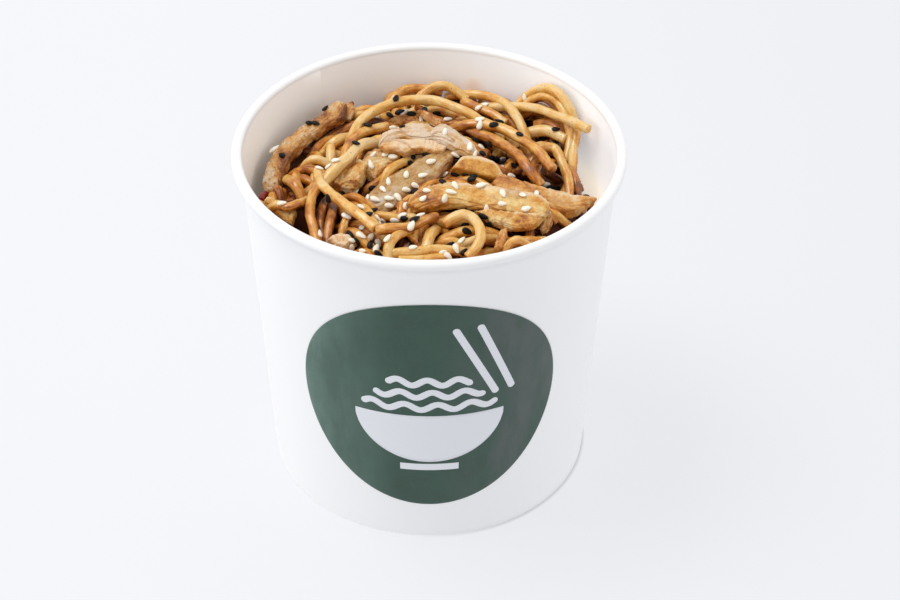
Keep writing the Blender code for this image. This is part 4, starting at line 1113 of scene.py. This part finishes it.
def layUnderNoodles(layer, laid):
    # Each is laid on the ground, evened out, cut to its longest stretch below the ceiling, and dips at
    # its ends. Those already laid raise the ground first.
    draw = np.random.default_rng(layer["seed"])
    ceiling = moundCeiling()
    ground = bareHeap(mapX, mapY, layer["sunk"])
    for line, radius, _ in laid:
        raiseMap(ground, line, radius)
    laid = list(laid)
    for _ in range(layer["tries"]):
        radius = noodleThick / 2 * draw.uniform(*under["thick"])
        line = randomRoute(draw)
        height = restOn(ground, line, radius) - under["sink"]
        for _ in range(under["rounds"]):
            height[1:-1] = np.maximum(height[1:-1], (height[:-2] + height[2:]) / 2)
        i, j = cellsAt(line[:, 0]), cellsAt(line[:, 1])
        fits = height + radius < ceiling[i, j]
        edges = np.flatnonzero(np.diff(np.concatenate([[0], fits.astype(int), [0]])))
        if not len(edges):
            continue
        starts, stops = edges[::2], edges[1::2]
        longest = np.argmax(stops - starts)
        start, stop = starts[longest], stops[longest]
        if stop - start < layer["shortest"]:
            continue
        line, height = line[start:stop], height[start:stop]
        run = np.arange(len(line), dtype=float)
        dip = np.clip(1 - np.minimum(run, run[-1] - run) / under["endReach"], 0, 1) ** 1.6
        line[:, 2] = np.maximum(height - under["endDip"] * dip, layer["lowest"])
        raiseMap(ground, line, radius)
        line = insideTub(line, radius)
        laid.append((line, radius, draw.uniform(*under["sauceAndShade"])))
    return laid


# Sauce and painted shade beyond a noodle's own: broad and fine sauce patches, sauce and painted shade on
# its underside, painted shade below other food and in the hollows
sauceAndPaintedShade = dict(all=0.05, broad=0.26, fine=0.16, undersideSauceAndShade=0.13, coveredShade=0.055, deep=0.060)


def noodlePiece(name, lines, sides, spacing, seed):
    # All the noodles of one mesh, with the marks that their material reads
    sauceAndShadeTerms = sauceAndPaintedShade
    marks = {"sauceAndShade": [], "run": [], "cosine": [], "sine": []}
    grids = []
    for number, (line, radius, sauceAndShade) in enumerate(lines):
        grid, run, cosine, sine = noodleGrid(line, radius, sides, spacing, seed + 5 * (number % 20))
        x, y, z = grid[..., 0], grid[..., 1], grid[..., 2]
        # Painted shade: darker where other food covers it and the deeper it lies in the heap
        coveredShade = np.clip(coverTop[cellsAt(x), cellsAt(y)] - z - 0.8, 0, 5)
        deep = np.clip(moundHeight(x, y) - z - 2.5, 0, 8)
        patches = sauceAndShadeTerms["broad"] * lumps(grid, 7.0, seed) + sauceAndShadeTerms["fine"] * lumps(grid, 2.6, seed + 1)
        sauceAndShade = (sauceAndShade + patches - sauceAndShadeTerms["undersideSauceAndShade"] * sine + sauceAndShadeTerms["all"] + sauceAndShadeTerms["coveredShade"] * coveredShade
                 + sauceAndShadeTerms["deep"] * deep)
        grids.append(grid * mm)
        for key, value in (("sauceAndShade", np.clip(sauceAndShade, 0, 1)), ("run", run + 53.0 * number),
                           ("cosine", cosine * radius), ("sine", sine * radius)):
            marks[key].append(value)
    return surfaceMesh(name, grids, marks=marks)


def heapCore():
    # Polar grid: the bare heap, then straight down the wall to the floor
    rings, columns, shelf = 90, 240, 55.0
    base = tub["floorHeight"] + 0.3
    top = innerRadius(80.0) - 0.5
    down = np.array([shelf, base])
    radius = np.concatenate([np.linspace(0.02, 1, rings) * top, innerRadius(down) - 0.5,
                             np.array([0.98, 0.6, 0.05]) * 45])
    angles = np.linspace(0, 2 * math.pi, columns, endpoint=False)
    x, y = radius[:, None] * np.cos(angles), radius[:, None] * np.sin(angles)
    z = bareHeap(x, y, inHollows["sunk"])
    z[rings:] = np.array([shelf, base, base, base, base])[:, None]
    return surfaceMesh("heapCore", [np.stack([x, y, z], axis=-1) * mm])


noodleRamp = ((0.02, (0.80, 0.57, 0.265)), (0.20, (0.78, 0.485, 0.142)), (0.40, (0.70, 0.343, 0.064)),
              (0.60, (0.54, 0.190, 0.025)), (0.80, (0.28, 0.076, 0.010)), (1.0, (0.075, 0.016, 0.003)))


def noodleMaterial(name, coat, shine):
    made, tree, shader = newMaterial(name, Roughness=0.36, Specular_IOR_Level=shine,
                                     Subsurface_Weight=0.25, Subsurface_Scale=0.0018,
                                     Subsurface_Radius=(1.0, 0.62, 0.25),
                                     Coat_Weight=coat, Coat_Roughness=0.16)
    place = objectPlace(tree)
    skin = joinAxes(tree, times(tree, readMark(tree, "run"), 0.22), readMark(tree, "cosine"),
                    readMark(tree, "sine"))
    streaks = noiseOf(tree, skin, 1.5, 4.0, 0.65)
    cloud = noiseOf(tree, place, 420.0, 4.0, 0.6)
    share = plus(tree, readMark(tree, "sauceAndShade"), spread(tree, cloud, 0.25, 0.75, -0.17, 0.17))
    share = plus(tree, share, spread(tree, streaks, 0.28, 0.72, -0.22, 0.22))
    specks = times(tree, spread(tree, noiseOf(tree, place, 1500.0, 1.0), 0.71, 0.75), 0.75)
    colour = blendColours(tree, specks, rampOf(tree, share, noodleRamp), (0.14, 0.045, 0.012))
    tree.links.new(colour, shader.inputs["Base Color"])
    gloss = plus(tree, cloud, times(tree, streaks, 0.6))
    tree.links.new(spread(tree, gloss, 0.55, 1.05, 0.20, 0.42), shader.inputs["Roughness"])
    height = plus(tree, noiseOf(tree, place, 1100.0, 3.0), times(tree, streaks, 1.2))
    roughen(tree, shader, height, 0.00013, 0.6)
    return made


saucedNoodle = noodleMaterial("saucedNoodle", 0.38, 0.5)
shadedNoodle = noodleMaterial("shadedNoodle", 0.10, 0.35)
# The heap's core: dark sauce brown, darkened as painted shade for the deep gaps between noodles
deepSauceAndShade = newMaterial("deepSauceAndShade", Base_Color=(0.095, 0.026, 0.010, 1), Roughness=0.7,
                        Specular_IOR_Level=0.15)[0]
underLines = layUnderNoodles(inHollows, layUnderNoodles(under, []))
coverTop = meatTop.copy()
for line, radius, _ in shownLines + underLines:
    raiseMap(coverTop, line, radius)
half = len(underLines) // 2
print("under noodles laid:", len(underLines))
for name, lines, form, material in (
        ("shownNoodles", shownLines, (22, 0.6, 200), saucedNoodle),
        ("deepNoodles", underLines[:half], (14, 1.0, 400), shadedNoodle),
        ("middleNoodles", underLines[half:], (14, 1.0, 400), shadedNoodle)):
    foodMeshes.append(addPiece(name, noodlePiece(name, lines, *form), material, "noodles", "noodles"))
foodMeshes.append(addPiece("heapCore", heapCore(), deepSauceAndShade, "noodles", "noodles"))


# Sesame seeds, each on the surface that the photo's pixel shows: (x, y, angle in the photo)
sesame = dict(length=2.95, wide=1.75, thick=1.05, taper=0.28, uneven=0.09, rows=8, columns=8, sunk=0.12,
              near=1.7, lift=0.6, reach=54.5)
whiteAt = [
    (405, 113, 40), (420, 120, 80), (448, 120, 5), (445, 132, 80), (480, 120, 10), (480, 125, 70),
    (487, 102, -10), (479, 108, 30), (470, 147, 90), (474, 154, 90), (481, 148, -60), (456, 154, -20),
    (431, 162, 25), (406, 175, 75), (423, 176, 15), (388, 182, 90), (374, 155, 20), (386, 155, 30),
    (393, 157, 0), (370, 165, 90), (402, 168, 0), (445, 175, -10), (383, 190, -60), (354, 192, 90),
    (406, 190, 0), (415, 186, -20), (368, 199, 75), (375, 200, -25), (389, 199, -10), (398, 198, -60),
    (361, 208, -50), (389, 206, -5), (405, 206, 45), (427, 191, -10), (423, 199, 50), (445, 198, 75),
    (451, 193, 0), (455, 186, -65), (481, 186, 15), (403, 216, 10), (395, 220, 0), (421, 216, 40),
    (411, 226, 60), (383, 220, 90), (377, 219, -50), (346, 217, -30), (362, 229, -60), (361, 236, -40),
    (371, 237, 50), (352, 241, 0), (353, 245, 70), (388, 239, 70), (378, 243, -70), (376, 249, 70),
    (363, 251, 0), (413, 248, 20), (462, 241, 60), (456, 249, -70), (443, 252, 20), (448, 256, -40),
    (487, 208, 80), (525, 97, 90), (503, 194, -70), (502, 204, 0), (523, 196, -65), (526, 209, 20),
    (502, 160, 40), (546, 184, 0), (511, 176, -10), (336, 161, 0), (329, 167, 0), (319, 169, 0),
    (282, 204, 0), (319, 234, 60), (275, 150, 60),
]
blackAt = [
    (350, 100, 20), (396, 99, 80), (390, 116, -50), (412, 114, 0), (401, 114, 0), (437, 113, 20),
    (368, 126, -60), (356, 144, -40), (413, 157, 60), (410, 163, -30), (427, 154, 10), (475, 141, -20),
    (483, 154, -40), (492, 158, 0), (497, 160, -30), (494, 125, 10), (456, 174, 20), (466, 174, 0),
    (474, 177, -20), (490, 144, -10), (473, 180, 0), (443, 183, -70), (415, 192, 40), (373, 188, 0),
    (344, 194, 70), (374, 211, 30), (369, 215, 0), (406, 218, 10), (415, 220, 50), (351, 234, -10),
    (358, 241, -50), (370, 245, 80), (378, 255, 0), (465, 225, 20), (467, 231, -30), (451, 244, 40),
    (464, 252, 50), (484, 216, 0), (490, 224, 60), (520, 135, -40), (526, 123, 30), (556, 130, 0),
    (543, 139, -20), (555, 143, 0), (505, 163, -20), (513, 166, 0), (524, 181, -10), (556, 188, 10),
    (550, 187, 0), (326, 109, 40), (309.5, 123.5, 0), (316, 124, -30), (282, 156, 40), (329, 198, 70),
]
scattered = dict(white=22, black=22, seed=8, reach=47.0, lowest=96.0, top=130.0)


def seedGrids(spots, normals, headings, draw):
    # Drop shape: half width w * sqrt(1 - t^2) * (1 - taper * t), and an oval section, at t from -1 to 1
    t = np.sin(np.linspace(-1.35, 1.35, sesame["rows"]))
    turn = np.linspace(0, 2 * math.pi, sesame["columns"], endpoint=False)
    half = np.sqrt(1 - t**2) * (1 - sesame["taper"] * t)
    size = 1 + sesame["uneven"] * draw.standard_normal((len(spots), 1, 1))
    along = size * t[None, :, None] * sesame["length"] / 2 + 0 * turn
    side = size * half[None, :, None] * np.cos(turn) * sesame["wide"] / 2
    rise = size * half[None, :, None] * np.sin(turn) * sesame["thick"] / 2
    ahead = unit(headings - normals * (headings * normals).sum(axis=1, keepdims=True))
    beside = np.cross(normals, ahead)
    middle = spots + normals * (sesame["thick"] / 2 - sesame["sunk"])
    return (middle[:, None, None] + along[..., None] * ahead[:, None, None]
            + side[..., None] * beside[:, None, None] + rise[..., None] * normals[:, None, None])


def treeOf(pieces):
    # All the food in one tree for ray casts
    points, faces, start = [], [], 0
    for piece in pieces:
        mesh = piece.data
        places = np.empty(len(mesh.vertices) * 3)
        mesh.vertices.foreach_get("co", places)
        points += places.reshape(-1, 3).tolist()
        faces += [[start + v for v in polygon.vertices] for polygon in mesh.polygons]
        start += len(mesh.vertices)
    return BVHTree.FromPolygons(points, faces)


def hiddenSpot(tree, hit):
    # Behind other food, or behind the front of the rim: the line of sight h + t * (camera - h) leaves the
    # rim's circle |h + t v| = R below the rim
    sight = Vector(cameraPlace) - hit
    if tree.ray_cast(hit + sight.normalized() * 0.0004, sight)[0] is not None:
        return True
    reach = tub["rimRadius"] * mm
    a, b = sight.x**2 + sight.y**2, hit.x * sight.x + hit.y * sight.y
    share = (-b + math.sqrt(b * b + a * (reach**2 - hit.x**2 - hit.y**2))) / a
    return hit.z + share * sight.z < tub["height"] * mm


def settleSeed(spot, normal, laid):
    # A seed that falls on another lies on top of it
    near = sum(np.linalg.norm(spot - other) < sesame["near"] for other in laid)
    laid.append(spot)
    return spot + normal * sesame["lift"] * min(near, 2)


def placeSeeds(tree, pixels, count, draw, laid):
    spots, normals, headings = [], [], []
    rays = rayThrough([pixel[:2] for pixel in pixels])
    for (_, _, tilt), ray in zip(pixels, rays):
        hit, normal, _, _ = tree.ray_cast(Vector(cameraPlace), Vector(ray))
        if hit is None or math.hypot(hit.x, hit.y) > sesame["reach"] * mm:    # on the wall
            continue
        turn = math.radians(tilt)
        spots.append(settleSeed(np.array(hit) / mm, np.array(normal), laid))
        normals.append(np.array(normal))
        headings.append(cameraRight * math.cos(turn) + cameraUp * math.sin(turn))
    while count:
        out, angle = scattered["reach"] * math.sqrt(draw.random()), draw.uniform(0, 2 * math.pi)
        start = Vector((out * math.cos(angle) * mm, out * math.sin(angle) * mm, scattered["top"] * mm))
        hit, normal, _, _ = tree.ray_cast(start, Vector((0, 0, -1)))
        turn = draw.uniform(0, 2 * math.pi)
        if hit is None or normal.z < 0.5 or hit.z < scattered["lowest"] * mm or not hiddenSpot(tree, hit):
            continue
        spots.append(settleSeed(np.array(hit) / mm, np.array(normal), laid))
        normals.append(np.array(normal))
        headings.append(np.array([math.cos(turn), math.sin(turn), 0.0]))
        count -= 1
    return seedGrids(np.array(spots), np.array(normals), np.array(headings), draw)


def seedMaterial(name, pale, dark, roughness, shine):
    made, tree, shader = newMaterial(name, Roughness=roughness, Specular_IOR_Level=shine,
                                     Subsurface_Weight=shine / 3, Subsurface_Scale=0.0008)
    place = objectPlace(tree)
    cloud = noiseOf(tree, place, 900.0, 3.0)
    colour = blendColours(tree, spread(tree, cloud, 0.35, 0.7), pale, dark)
    tree.links.new(colour, shader.inputs["Base Color"])
    roughen(tree, shader, noiseOf(tree, place, 3500.0, 2.0), 0.00006, 0.4)
    return made


foodTree = treeOf(foodMeshes)
draw = np.random.default_rng(scattered["seed"])
laidSeeds = []
whiteGrids = placeSeeds(foodTree, whiteAt, scattered["white"], draw, laidSeeds)
blackGrids = placeSeeds(foodTree, blackAt, scattered["black"], draw, laidSeeds)
addPiece("whiteSesame", surfaceMesh("whiteSesame", list(whiteGrids * mm)),
         seedMaterial("whiteSeed", (0.97, 0.93, 0.83), (0.92, 0.83, 0.66), 0.38, 0.6), "noodles")
addPiece("blackSesame", surfaceMesh("blackSesame", list(blackGrids * mm)),
         seedMaterial("blackSeed", (0.003, 0.003, 0.003), (0.012, 0.010, 0.009), 0.45, 0.22), "noodles")


# Floor and light

# glow is the table's own brightness, which keeps the shadow on it faint, with dimRight a painted
# falloff of the light at the right. contactShade is a painted contact shadow taken from it in a thin line
# along the right of the tub's foot.
studio = dict(floorHalf=3.0, floorColour=(0.20, 0.204, 0.212), glow=(0.672, 0.678, 0.700), dimRight=0.940,
              footEdge=0.0495, contactShade=0.30, worldColour=(0.975, 0.98, 1.0), worldStrength=0.705)
softboxes = {
    "keyLight": dict(place=(-0.6, 0.10, 1.4), aim=(0, 0, 0.08), size=(0.8, 0.7), power=10.9,
                     colour=(1.0, 0.985, 0.96)),
    "leftLight": dict(place=(-1.5, -0.3, 0.5), aim=(0, 0, 0.05), size=(1.2, 0.8), power=3.9,
                      colour=(1.0, 1.0, 1.0)),
    "rightLight": dict(place=(1.5, 0.3, 0.7), aim=(0, 0, 0.08), size=(1.2, 0.9), power=4.7,
                       colour=(1.0, 1.0, 1.0)),
}


def addFloor():
    half, edge = studio["floorHalf"], studio["footEdge"]
    mesh = bpy.data.meshes.new("studioFloor")
    corners = [(-half, -half, 0), (half, -half, 0), (half, half, 0), (-half, half, 0)]
    mesh.from_pydata(corners, [], [(0, 1, 2, 3)])
    pale, tree, shader = newMaterial("paleFloor", Base_Color=(*studio["floorColour"], 1), Roughness=0.7,
                                     Specular_IOR_Level=0.1, Emission_Color=(*studio["glow"], 1))
    place = objectPlace(tree)
    side = axisOf(tree, place, "X")
    away = addNode(tree, "VectorMath", {0: place}, operation="LENGTH").outputs["Value"]
    # Painted contact shadow and painted falloff of the light to the right
    contact = times(tree, spread(tree, away, edge + 0.0011, edge + 0.0002),
                    spread(tree, side, -0.005, 0.03, 0.0, studio["contactShade"]))
    glow = calculate(tree, "SUBTRACT", spread(tree, side, -0.10, 0.16, 1.0, studio["dimRight"]), contact)
    tree.links.new(glow, shader.inputs["Emission Strength"])
    mesh.materials.append(pale)
    floor = bpy.data.objects.new("studioFloor", mesh)
    bpy.context.scene.collection.objects.link(floor)


def addSoftbox(name, place, aim, size, power, colour):
    data = bpy.data.lights.new(name, "AREA")
    data.shape = "RECTANGLE"
    data.size, data.size_y = size
    data.energy = power
    data.color = colour
    lamp = bpy.data.objects.new(name, data)
    lamp.location = place
    lamp.rotation_euler = (Vector(aim) - Vector(place)).to_track_quat("-Z", "Y").to_euler()
    bpy.context.scene.collection.objects.link(lamp)


def addLight():
    world = bpy.data.worlds.new("studioWorld")
    world.use_nodes = True
    back = world.node_tree.nodes["Background"]
    back.inputs["Color"].default_value = (*studio["worldColour"], 1)
    back.inputs["Strength"].default_value = studio["worldStrength"]
    bpy.context.scene.world = world
    for name, box in softboxes.items():
        addSoftbox(name, **box)
    bpy.context.scene.view_settings.view_transform = "Standard"


addCamera()
addFloor()
addLight()
print("camera, floor and light in place")
